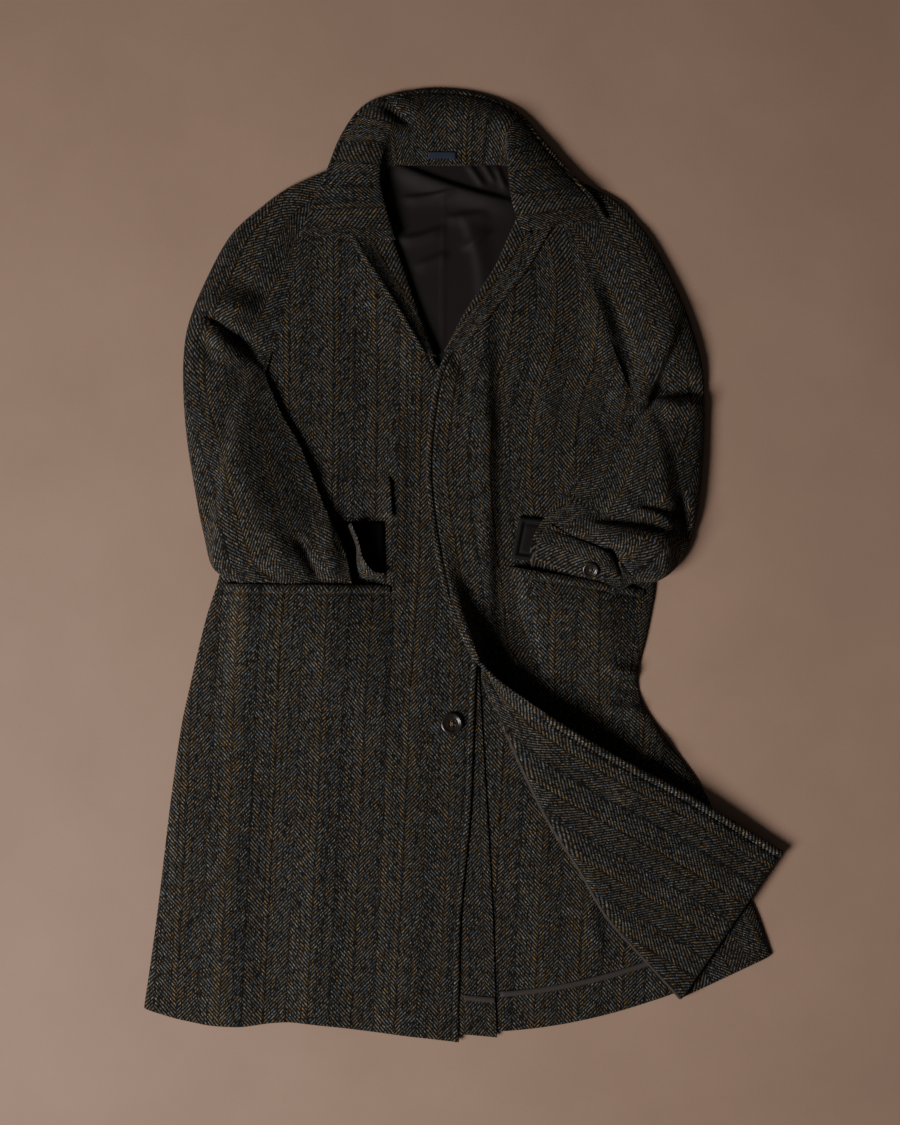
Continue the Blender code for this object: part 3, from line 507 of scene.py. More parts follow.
class Amount:
    """A number that changes over a surface. Sums with it add Math nodes to its material."""

    def __init__(self, look, socket):
        self.look = look
        self.socket = socket

    def work(self, operation, *values):
        made = self.look.node("ShaderNodeMath", {"operation": operation}, dict(enumerate(values)))
        return Amount(self.look, made.outputs[0])

    def __add__(self, other):
        return self.work("ADD", self, other)

    def __sub__(self, other):
        return self.work("SUBTRACT", self, other)

    def __rsub__(self, other):
        return self.work("SUBTRACT", other, self)

    def __mul__(self, other):
        return self.work("MULTIPLY", self, other)

    def __truediv__(self, other):
        return self.work("DIVIDE", self, other)

    def __rtruediv__(self, other):
        return self.work("DIVIDE", other, self)

    __radd__ = __add__
    __rmul__ = __mul__

    def floor(self):
        return self.work("FLOOR", self)

    def fraction(self):
        return self.work("FRACT", self)

    def absolute(self):
        return self.work("ABSOLUTE", self)

    def remainder(self, divisor):
        return self.work("FLOORED_MODULO", self, divisor)

    def at_most(self, limit):
        return self.work("MINIMUM", self, limit)

    def at_least(self, limit):
        return self.work("MAXIMUM", self, limit)

    def sine(self):
        return self.work("SINE", self)

    def below(self, limit):
        return self.work("LESS_THAN", self, limit)

    def root(self):
        return self.work("SQRT", self)

    def bow(self):
        """Goes from 0 up to 1 and down again, as a share goes from 0 to 1."""
        return self * (1.0 - self) * 4.0


class Look:
    """A material under construction on its Principled shader."""

    def __init__(self, name, **constants):
        self.made = bpy.data.materials.new(name)
        self.made.use_nodes = True
        self.tree = self.made.node_tree
        self.shader = self.tree.nodes["Principled BSDF"]
        for socket, value in constants.items():
            self.shader.inputs[socket.replace("_", " ")].default_value = value

    def node(self, kind, settings=None, sockets=None):
        """Adds a node: its settings first, then the values or links of its sockets."""
        made = self.tree.nodes.new(kind)
        for name, value in (settings or {}).items():
            if name == "stops":
                self.set_stops(made.color_ramp, value)
            else:
                setattr(made, name, value)
        for name, value in (sockets or {}).items():
            self.feed(made.inputs[name], value)
        return made

    def feed(self, socket, value):
        if isinstance(value, Amount):
            value = value.socket
        if isinstance(value, bpy.types.NodeSocket):
            self.tree.links.new(value, socket)
        elif value is not None:
            socket.default_value = value

    def set_stops(self, ramp, stops):
        while len(ramp.elements) < len(stops):
            ramp.elements.new(1.0)
        for element, (place, colour) in zip(ramp.elements, stops):
            element.position = place
            element.color = (*colour, 1)

    def parts(self, vector):
        made = self.node("ShaderNodeSeparateXYZ", None, {0: vector})
        return [Amount(self, output) for output in made.outputs]

    def vector(self, x, y, z):
        return self.node("ShaderNodeCombineXYZ", None, {0: x, 1: y, 2: z}).outputs[0]

    def cut(self):
        return self.node("ShaderNodeUVMap", {"uv_map": CUT_MAP}).outputs["UV"]

    def place(self):
        return self.node("ShaderNodeTexCoord").outputs["Object"]

    def noise(self, vector, scale, detail=2.0, roughness=0.5):
        sockets = {"Vector": vector, "Scale": scale, "Detail": detail, "Roughness": roughness}
        made = self.node("ShaderNodeTexNoise", None, sockets)
        return Amount(self, made.outputs["Fac"]), made.outputs["Color"]

    def chance(self, vector):
        """Chance values from 0 to 1 that stay the same within one yarn."""
        made = self.node("ShaderNodeTexWhiteNoise", None, {"Vector": vector})
        parts = self.node("ShaderNodeSeparateColor", None, {0: made.outputs["Color"]})
        return [Amount(self, output) for output in parts.outputs]

    def mixed(self, share, first, second, blend="MIX"):
        settings = {"data_type": "RGBA", "blend_type": blend}
        colours = [(*c, 1) if isinstance(c, (tuple, list)) and len(c) == 3 else c for c in (first, second)]
        return self.node("ShaderNodeMix", settings, {0: share, 6: colours[0], 7: colours[1]}).outputs[2]

    def ramp(self, share, stops, interpolation="LINEAR"):
        made = self.node("ShaderNodeValToRGB", {"stops": stops}, {0: share})
        made.color_ramp.interpolation = interpolation
        return made.outputs["Color"]

    def grey(self, share):
        return self.node("ShaderNodeCombineColor", None, {0: share, 1: share, 2: share}).outputs[0]

    def relief(self, height, depth, strength=1.0):
        sockets = {"Height": height, "Distance": depth, "Strength": strength}
        self.feed(self.shader.inputs["Normal"], self.node("ShaderNodeBump", None, sockets).outputs[0])

    def colour(self, colour):
        self.feed(self.shader.inputs["Base Color"], colour)

    def roughness(self, value):
        self.feed(self.shader.inputs["Roughness"], value)


def settings():
    return bpy.context.scene.coat_cloth


def rgb(colour):
    return tuple(colour)


@lru_cache(maxsize=None)
def tweed_look():
    """Two-and-two herringbone: floats of mixed warp yarns over a dark weft, reversing at each column."""
    cloth = settings()
    look = Look("herringbone tweed", Sheen_Weight=0.12, Sheen_Roughness=0.5, Specular_IOR_Level=0.2)
    look.shader.inputs["Sheen Tint"].default_value = (0.6, 0.58, 0.54, 1)
    cut = look.cut()
    flat = look.parts(cut)
    waver = look.parts(look.noise(cut, 110.0, 1.0)[1])
    ends = (flat[0] + (waver[0] - 0.5) * 0.0014) / (cloth.column_width / COLUMN_ENDS)
    picks = (flat[1] + (waver[1] - 0.5) * 0.0020) / (cloth.line_pitch / TWILL_REPEAT)
    end = ends.floor()
    pick = picks.floor()
    in_end = ends.fraction()
    in_pick = picks.fraction()
    column = ((end + 0.5) / COLUMN_ENDS).floor()
    back = column.remainder(2.0)
    local = end - column * COLUMN_ENDS
    turned = local + back * (COLUMN_ENDS - 1.0 - local * 2.0)
    order = pick + turned + back * (TWILL_REPEAT / 2)
    float_number = ((order + 0.5) / TWILL_REPEAT).floor()
    phase = order - float_number * TWILL_REPEAT
    warp_up = phase.below(1.5)
    warp_run = (phase + in_pick) / 2.0
    weft_run = (phase - 2.0 + in_end + back * (1.0 - in_end * 2.0)) / 2.0
    warp_bow = in_end.bow().root() * (warp_run.bow() * 0.5 + 0.5)
    weft_bow = in_pick.bow().root() * (weft_run.bow() * 0.3 + 0.2)
    height = weft_bow + (warp_bow - weft_bow) * warp_up
    fleck = look.chance(look.vector(end, float_number, column))
    speck = look.chance(look.vector(end, pick, 5.0))
    yarn_of_end = look.chance(look.vector(end, 7.0, 1.0))
    inside = (local - COLUMN_ENDS / 2 + 0.5).absolute().below(COLUMN_ENDS / 2 - 1.2)
    stripe = (turned - STRIPE_END).absolute().below(1.2)
    choice = (fleck[0] * 0.66 + yarn_of_end[0] * 0.34 + stripe * 0.22).at_most(0.999)
    warp = look.ramp(
        choice,
        (
            (0.0, rgb(cloth.charcoal)),
            (0.30, rgb(cloth.blue_grey)),
            (0.475, rgb(cloth.brown)),
            (0.585, rgb(cloth.pale_grey)),
            (0.70, rgb(cloth.brown)),
            (0.81, rgb(cloth.tan)),
        ),
        "CONSTANT",
    )
    weft_fleck = look.chance(look.vector(pick, column, 2.0))[0]
    weft = look.mixed(weft_fleck * 0.8, rgb(cloth.ground), rgb(cloth.charcoal))
    fibre = look.noise(cut, 1900.0, 2.0)[0]
    # The grey factor follows height, darkening each float towards its edges and the weft between floats:
    # painted shade in the weave's hollows, beside the yarns' own tone.
    bright = (0.45 + fleck[1] * 0.24 + speck[0] * speck[0] * 1.0) * (0.68 + inside * 0.38 - back * 0.10)
    shade = (height * bright + (fibre - 0.5) * 0.5).at_least(0.06)
    mottle = look.noise(cut, 26.0, 3.0)[0]
    woven = look.mixed(warp_up, weft, warp)
    look.colour(look.mixed(1.0, woven, look.grey(shade * (mottle * 0.4 + 0.8)), "MULTIPLY"))
    look.roughness(0.98 - height * 0.1)
    look.relief(height + fibre * 0.5, 0.0007, 0.7)
    return look.made


def satin_material(name, colour, gloss=1.0):
    """Twill-woven lining with a soft gloss along the threads."""
    look = Look(name, Sheen_Weight=0.1 * gloss, Sheen_Roughness=0.4, Specular_IOR_Level=0.25 * gloss)
    cut = look.cut()
    flat = look.parts(cut)
    ribs = ((flat[0] + flat[1] * 0.6) * 5200.0).sine() * 0.5 + 0.5
    slub = look.noise(look.vector(flat[0] * 9.0, flat[1] * 0.6, 0.0), 120.0, 3.0)[0]
    tone = ribs * 0.14 + slub * 0.36 + 0.68
    look.colour(look.mixed(1.0, colour, look.grey(tone), "MULTIPLY"))
    look.roughness(0.56 + slub * 0.16)
    look.relief(ribs * 0.5 + slub, 0.00012, 0.5)
    return look.made


@lru_cache(maxsize=None)
def satin_look():
    return satin_material("brown lining", rgb(settings().lining))


@lru_cache(maxsize=None)
def flap_satin_look():
    return satin_material("flap lining", rgb(settings().flap_lining))


# Painted shade: the right flap's lining is the flap lining darkened to three tenths, with a fifth of its
# gloss, to stand for the shadow that the sleeve and the cuff strap cast on it.
@lru_cache(maxsize=None)
def painted_shade_satin_look():
    shaded = tuple(part * 0.3 for part in settings().flap_lining)
    return satin_material("shaded flap lining", shaded, gloss=0.2)


@lru_cache(maxsize=None)
def tape_look():
    """Bias binding: fine slanting ribs."""
    cloth = settings()
    look = Look("binding tape", Specular_IOR_Level=0.35)
    flat = look.parts(look.cut())
    ribs = ((flat[0] + flat[1]) * 4200.0).sine() * 0.5 + 0.5
    wear = look.noise(look.cut(), 180.0, 3.0)[0]
    look.colour(look.mixed(1.0, rgb(cloth.binding), look.grey(ribs * 0.25 + wear * 0.4 + 0.65), "MULTIPLY"))
    look.roughness(0.6 + wear * 0.2)
    look.relief(ribs + wear * 0.5, 0.0002, 0.6)
    return look.made


@lru_cache(maxsize=None)
def label_look():
    """Plain navy damask for the neck label."""
    cloth = settings()
    look = Look("label cloth", Specular_IOR_Level=0.35)
    flat = look.parts(look.cut())
    ribs = (flat[1] * 9000.0).sine() * 0.5 + 0.5
    wear = look.noise(look.cut(), 240.0, 2.0)[0]
    look.colour(look.mixed(1.0, rgb(cloth.label), look.grey(ribs * 0.3 + wear * 0.3 + 0.7), "MULTIPLY"))
    look.roughness(0.55 + wear * 0.2)
    look.relief(ribs, 0.00015, 0.5)
    return look.made


@lru_cache(maxsize=None)
def horn_look():
    """Dark horn with paler streaks and a worn polish."""
    cloth = settings()
    look = Look("dark horn", Coat_Roughness=0.12, Specular_IOR_Level=0.5)
    place = look.place()
    drawn = look.node("ShaderNodeMapping", None, {0: place, 3: (240, 60, 60)}).outputs[0]
    streak = look.noise(drawn, 1.0, 4.0)[0]
    dark = rgb(cloth.horn)
    pale = tuple(min(1.0, 2.6 * c) for c in dark)
    look.colour(look.ramp(streak, ((0.42, dark), (0.72, pale))))
    scratch = look.noise(place, 1400.0, 3.0)[0]
    look.roughness(0.2 + scratch * 0.22)
    look.feed(look.shader.inputs["Coat Weight"], 0.25 + scratch * 0.2)
    look.relief(scratch, 0.00006, 0.4)
    return look.made


def thread_material(name, colour):
    look = Look(name, Specular_IOR_Level=0.3)
    place = look.parts(look.place())
    twist = ((place[0] + place[1] + place[2]) * 9000.0).sine() * 0.5 + 0.5
    look.colour(look.mixed(1.0, colour, look.grey(twist * 0.5 + 0.6), "MULTIPLY"))
    look.roughness(0.65 + twist * 0.1)
    look.relief(twist, 0.0001, 0.5)
    return look.made


@lru_cache(maxsize=None)
def thread_look():
    return thread_material("stitching thread", rgb(settings().thread))


@lru_cache(maxsize=None)
def button_thread_look():
    return thread_material("button thread", rgb(settings().button_thread))


def floor_look(colour):
    look = Look("painted floor", Specular_IOR_Level=0.25)
    place = look.place()
    cloud = look.noise(place, 5.0, 6.0, 0.6)[0]
    grain = look.noise(place, 420.0, 3.0)[0]
    look.colour(look.mixed(1.0, colour, look.grey(cloud * 0.3 + grain * 0.07 + 0.815), "MULTIPLY"))
    look.roughness(0.78 + grain * 0.1)
    look.relief(grain, 0.0004, 0.25)
    return look.made


def column(table, name):
    return np.array([getattr(row, name) for row in table], float)


def through(values, at):
    """Reads a smooth curve through table values at places from 0 to 1."""
    values = np.asarray(values, float)
    spans = len(values) - 1
    place = np.clip(np.asarray(at, float) * spans, 0, spans - 1e-9)
    first = place.astype(int)
    part = place - first
    ends = ([2 * values[0] - values[1]], values, [2 * values[-1] - values[-2]])
    knots = np.concatenate(ends)
    a, b, c, d = (knots[first + k] for k in range(4))
    bend = (2 * a - 5 * b + 4 * c - d) * part**2 + (3 * b - a - 3 * c + d) * part**3
    return 0.5 * (2 * b + (c - a) * part + bend)


def straight(values, at):
    """Reads straight spans between table values at places from 0 to 1."""
    return np.interp(at, np.linspace(0, 1, len(values)), values)


def rise(value, low, high):
    """Goes smoothly from 0 at low to 1 at high."""
    part = np.clip((np.asarray(value, float) - low) / (high - low), 0, 1)
    return part * part * (3 - 2 * part)


def mix(first, second, share):
    return first + (second - first) * share


def close_steps(steps, length, most):
    """Given distances as shares of a length, drawn in where they would take up more than the most."""
    return np.array(steps) * min(1, most * length / steps[-1]) / length


def filled(low, high, count):
    """Two runs of shares with even ones between them."""
    inner = np.linspace(low[-1], high[0], count - len(low) - len(high) + 2)[1:-1]
    return np.concatenate([low, inner, high])


def shares(length, count, first=False, last=False):
    """Places along a length from 0 to 1, close together at its finished ends."""
    near = close_steps(EDGE_STEPS, length, 0.35)
    return filled(near if first else np.zeros(1), 1 - near[::-1] if last else np.ones(1), count)


def fold_height(x, y, table):
    """Height of the ridges and troughs that cross a place on the plan."""
    total = np.zeros(np.broadcast(x, y).shape)
    for fold in table:
        run_x = fold.x1 - fold.x0
        run_y = fold.y1 - fold.y0
        length = math.hypot(run_x, run_y)
        along = ((x - fold.x0) * run_x + (y - fold.y0) * run_y) / length**2
        across = ((x - fold.x0) * run_y - (y - fold.y0) * run_x) / length
        across = across - fold.bow * 4 * along * (1 - along)
        width = np.where(across < 0, fold.left, fold.right)
        ends = rise(along, -0.15, 0.25) * (1 - rise(along, 0.75, 1.15))
        total = total + fold.height * np.exp(-((across / width) ** 2)) * ends
    return total


def line_x(table, x_name, y_name, y):
    """The x of a panel's long edge at a height on the plan."""
    at = np.linspace(0, 1, 400)
    xs = through(column(table, x_name), at)
    ys = through(column(table, y_name), at)
    return np.interp(y, ys, xs)


def even_rows(table, names, count, first=False, last=False):
    """Table places whose rows are evenly spaced along a panel, closer at its finished ends."""
    at = np.linspace(0, 1, 600)
    x, y = (through(column(table, name), at) for name in names)
    run = np.concatenate([[0], np.cumsum(np.hypot(np.diff(x), np.diff(y)))])
    return np.interp(shares(run[-1], count, first, last) * run[-1], run, at)


def right_height(x, y):
    return FRONT_MID + fold_height(x, y, FOLDS_RIGHT)


def left_height(x, y):
    """The left front steps up where it lies on the right front."""
    under = line_x(FRONT_RIGHT, "edge_x", "edge_y", y)
    step = OVERLAP_STEP * (1 - rise(x - under, *OVERLAP_RAMP)) * rise(y, *OVERLAP_STARTS)
    return FRONT_MID + step + fold_height(x, y, FOLDS_LEFT)


def side_shares(width, count, last=False):
    """Shares across a row: close together round the side's turn, then even to the edge."""
    edge = close_steps(EDGE_STEPS, width, 0.35)
    return filled(close_steps(SIDE_COLUMNS, width, 0.4), 1 - edge[::-1] if last else np.ones(1), count)


def side_turn(reach, drop, height):
    """Brings a front down to the floor in a round turn at its side seam."""
    turn = np.clip(reach / SIDE_TURN, 0, 1)
    round_part = np.sqrt(1 - (1 - turn) ** 2)
    return mix(height, mix(SIDE_FOOT, height, round_part), drop)


def lengths(points, axis):
    """Length walked from the first point along rows (axis 1) or columns (axis 0)."""
    steps = np.linalg.norm(np.diff(points, axis=axis), axis=2)
    start = np.zeros_like(np.take(steps, [0], axis=axis))
    return np.concatenate([start, np.cumsum(steps, axis=axis)], axis=axis)


def normals(points):
    along = np.gradient(points, axis=0)
    across = np.gradient(points, axis=1)
    normal = np.cross(across, along)
    return normal / np.maximum(np.linalg.norm(normal, axis=2, keepdims=True), 1e-9)


def moved_out(points, distance):
    return points + normals(points) * distance


def border_reach(points, sides):
    """Distance of each point from the nearest of the named borders."""
    reach = np.full(points.shape[:2], 1e6)
    across = lengths(points, 1)
    along = lengths(points, 0)
    if "first" in sides:
        reach = np.minimum(reach, across)
    if "last" in sides:
        reach = np.minimum(reach, across[:, -1:] - across)
    if "foot" in sides:
        reach = np.minimum(reach, along)
    if "head" in sides:
        reach = np.minimum(reach, along[-1:] - along)
    return reach


def edge_taper(points, sides):
    """Share of the wall that is left at each point, rounding off the named borders."""
    near = np.clip(border_reach(points, sides) / EDGE_ROUND, 0, 1)
    return np.maximum(np.sqrt(1 - (1 - near) ** 2), 0.08)


def stitched_down(points, sides, inset=STITCH_INSET, up=1, share=1.0, depth=STITCH_SINK):
    """Draws the cloth in along a line of stitching beside the named borders and puffs up its edge."""
    reach = border_reach(points, sides)
    sink = depth * np.exp(-(((reach - inset) / STITCH_SPREAD) ** 2))
    puff = EDGE_PUFF * np.exp(-(((reach - 0.5 * inset) / (0.4 * inset)) ** 2))
    return points - normals(points) * ((sink - puff) * share)[..., None] * up


def front_line(y):
    """Centre front's grain line on the right front."""
    return np.interp(y, *GRAIN_LINE)


@lru_cache(maxsize=None)
def right_front():
    """Middle points and flat cut of the right front."""
    rows, columns = 270, 120
    at = even_rows(FRONT_RIGHT, ("edge_x", "edge_y"), rows, first=True)
    read = {name: through(column(FRONT_RIGHT, name), at) for name in PanelRow._fields}
    drop = np.clip(read["drop"], 0, 1)
    sag_at = np.linspace(0, 1, 200)
    sag = np.interp(sag_at, column(HEM_RIGHT, "share"), column(HEM_RIGHT, "sag"))
    sag = np.convolve(np.pad(sag, 8, mode="edge"), np.hanning(19)[1:-1] / np.hanning(19).sum(), "valid")
    points = np.zeros((rows, columns, 3))
    for j in range(rows):
        side = np.array([read["side_x"][j], read["side_y"][j]])
        edge = np.array([read["edge_x"][j], read["edge_y"][j]])
        width = np.linalg.norm(edge - side)
        share = side_shares(width, columns, last=True)
        plan = mix(side, edge, share[:, None])
        x = plan[:, 0]
        hem_reach = read["edge_y"][j] - FRONT_RIGHT[0].edge_y
        y = plan[:, 1] - np.interp(share, sag_at, sag) * (1 - rise(hem_reach, 0, HEM_SAG_REACH))
        points[j] = np.column_stack([x, y, side_turn(share * width, drop[j], right_height(x, y))])
    return stitched_down(points, ("last",)), right_cut(points)


LEFT_FLAT, LEFT_ROLL, LEFT_TURN = 64, 18, 52


@lru_cache(maxsize=None)
def left_front():
    """Middle points and flat cut of the left front: flat to the fold, round the roll, back to the edge."""
    rows = 270
    at = even_rows(FRONT_LEFT, ("edge_x", "edge_y"), rows, first=True)
    read = {name: through(column(FRONT_LEFT, name), at) for name in TurnRow._fields}
    drop = np.clip(read["drop"], 0, 1)
    lines = []
    for j in range(rows):
        side, fold, edge = (
            np.array([read[name + "_x"][j], read[name + "_y"][j]]) for name in ("side", "fold", "edge")
        )
        roll = max(read["roll"][j], 0)
        lift = max(read["lift"][j], 0)
        strip = np.linalg.norm(edge - fold)
        out = (fold - side) / np.linalg.norm(fold - side)
        back = (edge - fold) / strip
        reach = min(0.5 * roll + 4, 0.4 * strip)
        start = fold - out * reach
        end = fold + back * reach
        width = np.linalg.norm(start - side)
        share = side_shares(width, LEFT_FLAT)[:, None]
        flat = mix(side, start, share)
        part = np.linspace(0, 1, LEFT_ROLL + 1)[1:, None]
        tip = fold + out * reach
        bend = start * (1 - part) ** 2 + 2 * tip * part * (1 - part) + end * part**2
        last = shares(np.linalg.norm(edge - end), LEFT_TURN + 1, last=True)[1:, None]
        turned = mix(end, edge, last)
        plan = np.concatenate([flat, bend, turned])
        height = left_height(plan[:, 0], plan[:, 1])
        height[:LEFT_FLAT] = side_turn(share[:, 0] * width, drop[j], height[:LEFT_FLAT])
        rolled = np.concatenate([np.zeros(LEFT_FLAT), rise(part[:, 0], 0, 1), np.ones(LEFT_TURN)])
        crest = rise(last[:, 0], 0, CREST[0]) - CREST[2] * rise(last[:, 0], CREST[1], 1)
        lifted = mix(last[:, 0], crest, rise(at[j], *CREST_ROWS))
        lifted = np.concatenate([np.zeros(LEFT_FLAT + LEFT_ROLL), lifted])
        lines.append(np.column_stack([plan, height + roll * rolled + (lift - roll) * lifted]))
    points = np.array(lines)
    along = lengths(points[:, -1:], 0)
    across = lengths(points, 1)
    lapel = np.interp(points[:, -1, 1], LAPEL_ROWS, (0.0, 1.0))[:, None]
    inset = lapel * np.maximum(points[:, -1:, 0] - LAPEL_LINE, 0)
    cut = np.stack([across[:, -1:] - across + inset, np.broadcast_to(along, across.shape)], axis=2)
    above = rise(at, 0.9 * SKIRT_FACING_TOP, 1.1 * SKIRT_FACING_TOP)[:, None]
    points = stitched_down(points, ("last",), up=-1, share=FRONT_PUFF * above)
    return stitched_down(points, ("last",), inset=FACING_SEAM, share=1 - above, depth=FACING_SINK), cut, at


@lru_cache(maxsize=None)
def skirt_facing():
    """The facing on the inside of the turned-back corner, from the left front's own points."""
    points, cut, at = left_front()
    rows = at <= SKIRT_FACING_TOP
    first = LEFT_FLAT + int(0.7 * LEFT_ROLL)
    front = points[rows, first:]
    reach = border_reach(front, ("last", "foot"))
    lay = (TWEED + SEAM) * rise(reach, -2.0, 5.0) + 0.4
    facing = front + normals(front) * lay[..., None]
    return stitched_down(facing, ("last",), inset=FACING_SEAM, depth=2.0), cut[rows, first:]


def facing_tape():
    """Tape over the inner edge of the turned-back facing, along the fold."""
    facing, _ = skirt_facing()
    reach = lengths(facing, 1)
    outside = moved_out(facing, TWEED / 2 + SEAM)
    steps = np.linspace(0, FACING_TAPE, 9)
    lines = [[np.interp(steps, reach[j], outside[j, :, k]) for k in range(3)] for j in range(len(facing))]
    return np.array(lines).transpose(2, 0, 1)


def back_rows(table, front, inset, rows):
    """Side and seam points of a back half; the side runs inside its front's side seam."""
    at = shares(column(table, "seam_y")[-1] - column(table, "seam_y")[0], rows, first=True)
    side_y, seam_x, seam_y = (straight(column(table, name), at) for name in BackRow._fields)
    side_x = line_x(front, "side_x", "side_y", side_y) + inset
    return at, side_x, side_y, seam_x, seam_y


def hem_step(points):
    """Raises the turned-up hem by one ply."""
    reach = border_reach(points, ("foot",))
    points[..., 2] += HEM_PLY * (1 - rise(reach, *HEM_STEP))
    return points


def with_neck(points, neck_x):
    """Carries the back up to the neck, where it ends under the collar."""
    seam_x = points[-1, -1, 0]
    x = np.linspace(neck_x, seam_x, points.shape[1])
    neck = np.column_stack([x, np.full_like(x, BACK_NECK_TOP), np.full_like(x, BACK_MID)])
    part = np.linspace(0, 1, 9)[1:, None, None]
    return np.concatenate([points, mix(points[-1:], neck[None], part)])


def flared_cut(points, flare):
    """Flat cut of a back half, whose columns spread towards the hem."""
    return np.stack([points[..., 0] + flare * (BACK_FLARE_TOP - points[..., 1]), points[..., 1]], axis=2)


@lru_cache(maxsize=None)
def right_back():
    """The right half climbs onto the left half's underlap below the vent's top."""
    rows, columns = 180, 60
    _, side_x, side_y, seam_x, seam_y = back_rows(BACK_RIGHT, FRONT_RIGHT, SIDE_INSET, rows)
    lines = []
    for j in range(rows):
        width = math.hypot(seam_x[j] - side_x[j], seam_y[j] - side_y[j])
        share = 1 - shares(width, columns, last=True)
        x = mix(seam_x[j], side_x[j], share)
        y = mix(seam_y[j], side_y[j], share)
        climb = (1 - rise(share * width, *VENT_CLIMB)) * (1 - rise(y, *VENT_CLOSES))
        lines.append(np.column_stack([x, y, BACK_MID + VENT_RAISE * climb]))
    points = with_neck(hem_step(np.array(lines)), BACK_NECK_RIGHT)
    return points, flared_cut(points, BACK_FLARE_RIGHT)


@lru_cache(maxsize=None)
def left_back():
    rows, columns = 180, 60
    at, side_x, side_y, seam_x, seam_y = back_rows(BACK_LEFT, FRONT_LEFT, -SIDE_INSET, rows)
    share = np.linspace(0, 1, columns)[None, :]
    x = mix(side_x[:, None], seam_x[:, None], share)
    y = mix(side_y[:, None], seam_y[:, None], share)
    y = y + BACK_LEFT_HEM_BOW * 4 * share * (1 - share) * (1 - rise(at[:, None], 0, 0.2))
    points = np.stack([x, y, BACK_MID + fold_height(x, y, FOLDS_BACK)], axis=2)
    points = with_neck(hem_step(points), BACK_NECK_LEFT)
    return points, flared_cut(points, BACK_FLARE_LEFT)


@lru_cache(maxsize=None)
def neck_lining():
    rows, columns = 110, 80
    at = np.linspace(0, 1, rows)
    side_x, side_y, edge_x, edge_y = (
        through(column(BACK_LINING, name), at)[:, None] for name in LiningRow._fields
    )
    share = np.linspace(0, 1, columns)[None, :]
    x = mix(side_x, edge_x, share)
    y = mix(side_y, edge_y, share)
    points = np.stack([x, y, LINING_MID + fold_height(x, y, FOLDS_LINING)], axis=2)
    return points, points[..., :2]


def sleeve_seat(y):
    """Top of a front under its sleeve, with the flaps that lie there."""
    ended = sum(share * rise(y, low, high) for share, low, high in SEAT_STEPS)
    return FRONT_MID + TWEED / 2 + FLAP_STACK * (1 - ended)


def under_sleeve(front, out, x, y):
    """Top of what lies under a sleeve: the front with its flaps, nothing beyond the side seam."""
    return sleeve_seat(y) * rise(out * (line_x(front, "side_x", "side_y", y) - x), *SEAT_SIDE)


def sleeve(table, front, out, folds, level):
    """A sleeve's single panel, from its front seam over the top, round the fold and back beneath."""
    around, rows = 124, 236
    at = np.linspace(0, 1, rows)
    read = {name: through(column(table, name), at)[:, None] for name in SleeveRow._fields}
    raglan = np.clip(read["raglan"], 0, 1)
    over = np.clip(read["over"], 0, 1)
    angle = np.linspace(0, 2 * math.pi, around)[None, :]
    share = (1 - np.cos(angle)) / 2
    seam_x = line_x(front, "side_x", "side_y", read["inner_y"]) + out * RAGLAN_GAP
    inner_x = mix(read["inner_x"], seam_x, raglan)
    inner_x = mix(inner_x, out * np.minimum(out * inner_x, out * seam_x), rise(raglan, 0, 0.05))
    x = mix(inner_x, read["outer_x"], share)
    y = mix(read["inner_y"], read["outer_y"], share)
    swell = np.abs(np.sin(angle))
    base = BACK_MID + over * (under_sleeve(front, out, x, y) + SLEEVE_LAY)
    middle = base + SLEEVE_FOLD
    seam_level = raglan * (1 - share) ** 3
    seam = SLEEVE_SEAM * (1 - share) ** 6
    round_top = swell**0.75
    gentle = np.minimum(rise(share, *SLEEVE_RISE), round_top)
    top = middle + seam + read["crown"] * gentle + fold_height(x, y, folds) * swell**0.5
    top = np.maximum(mix(top, np.maximum(level(x, y), top), seam_level), base + TWEED + SEAM)
    foot = middle - np.maximum(SLEEVE_FOLD * np.maximum(swell**0.5, seam_level), seam)
    z = np.where(np.arange(around)[None, :] < around / 2, top, foot)
    points = np.stack([x, y, z], axis=2)
    return points, sleeve_cut(points)


def sleeve_cut(points):
    """Flat cut of a sleeve: along its own middle line, and across from it."""
    quarter = points.shape[1] // 4
    across = lengths(points, 1)
    centre = points[:, quarter:quarter + 1, :2]
    steps = np.gradient(centre[:, 0], axis=0)
    padded = np.pad(steps, ((CUT_WINDOW // 2, CUT_WINDOW // 2), (0, 0)), mode="edge")
    window = np.ones(CUT_WINDOW) / CUT_WINDOW
    run = np.stack([np.convolve(padded[:, k], window, "valid") for k in range(2)], axis=1)
    run = (run / np.linalg.norm(run, axis=1, keepdims=True))[:, None]
    row = points[:, 2 * quarter:2 * quarter + 1, :2] - points[:, :1, :2]
    row = row / np.linalg.norm(row, axis=2, keepdims=True)
    square = np.abs(row[..., 0] * run[..., 1] - row[..., 1] * run[..., 0])
    slip = np.sum((points[..., :2] - centre) * run, axis=2)
    walked = lengths(centre, 0)
    return np.stack([(across - across[:, quarter:quarter + 1]) * square, -(walked + slip)], axis=2)


@lru_cache(maxsize=None)
def right_sleeve():
    return sleeve(SLEEVE_RIGHT, FRONT_RIGHT, -1, FOLDS_SLEEVE_RIGHT, right_height)


@lru_cache(maxsize=None)
def left_sleeve():
    return sleeve(SLEEVE_LEFT, FRONT_LEFT, 1, FOLDS_SLEEVE_LEFT, left_height)


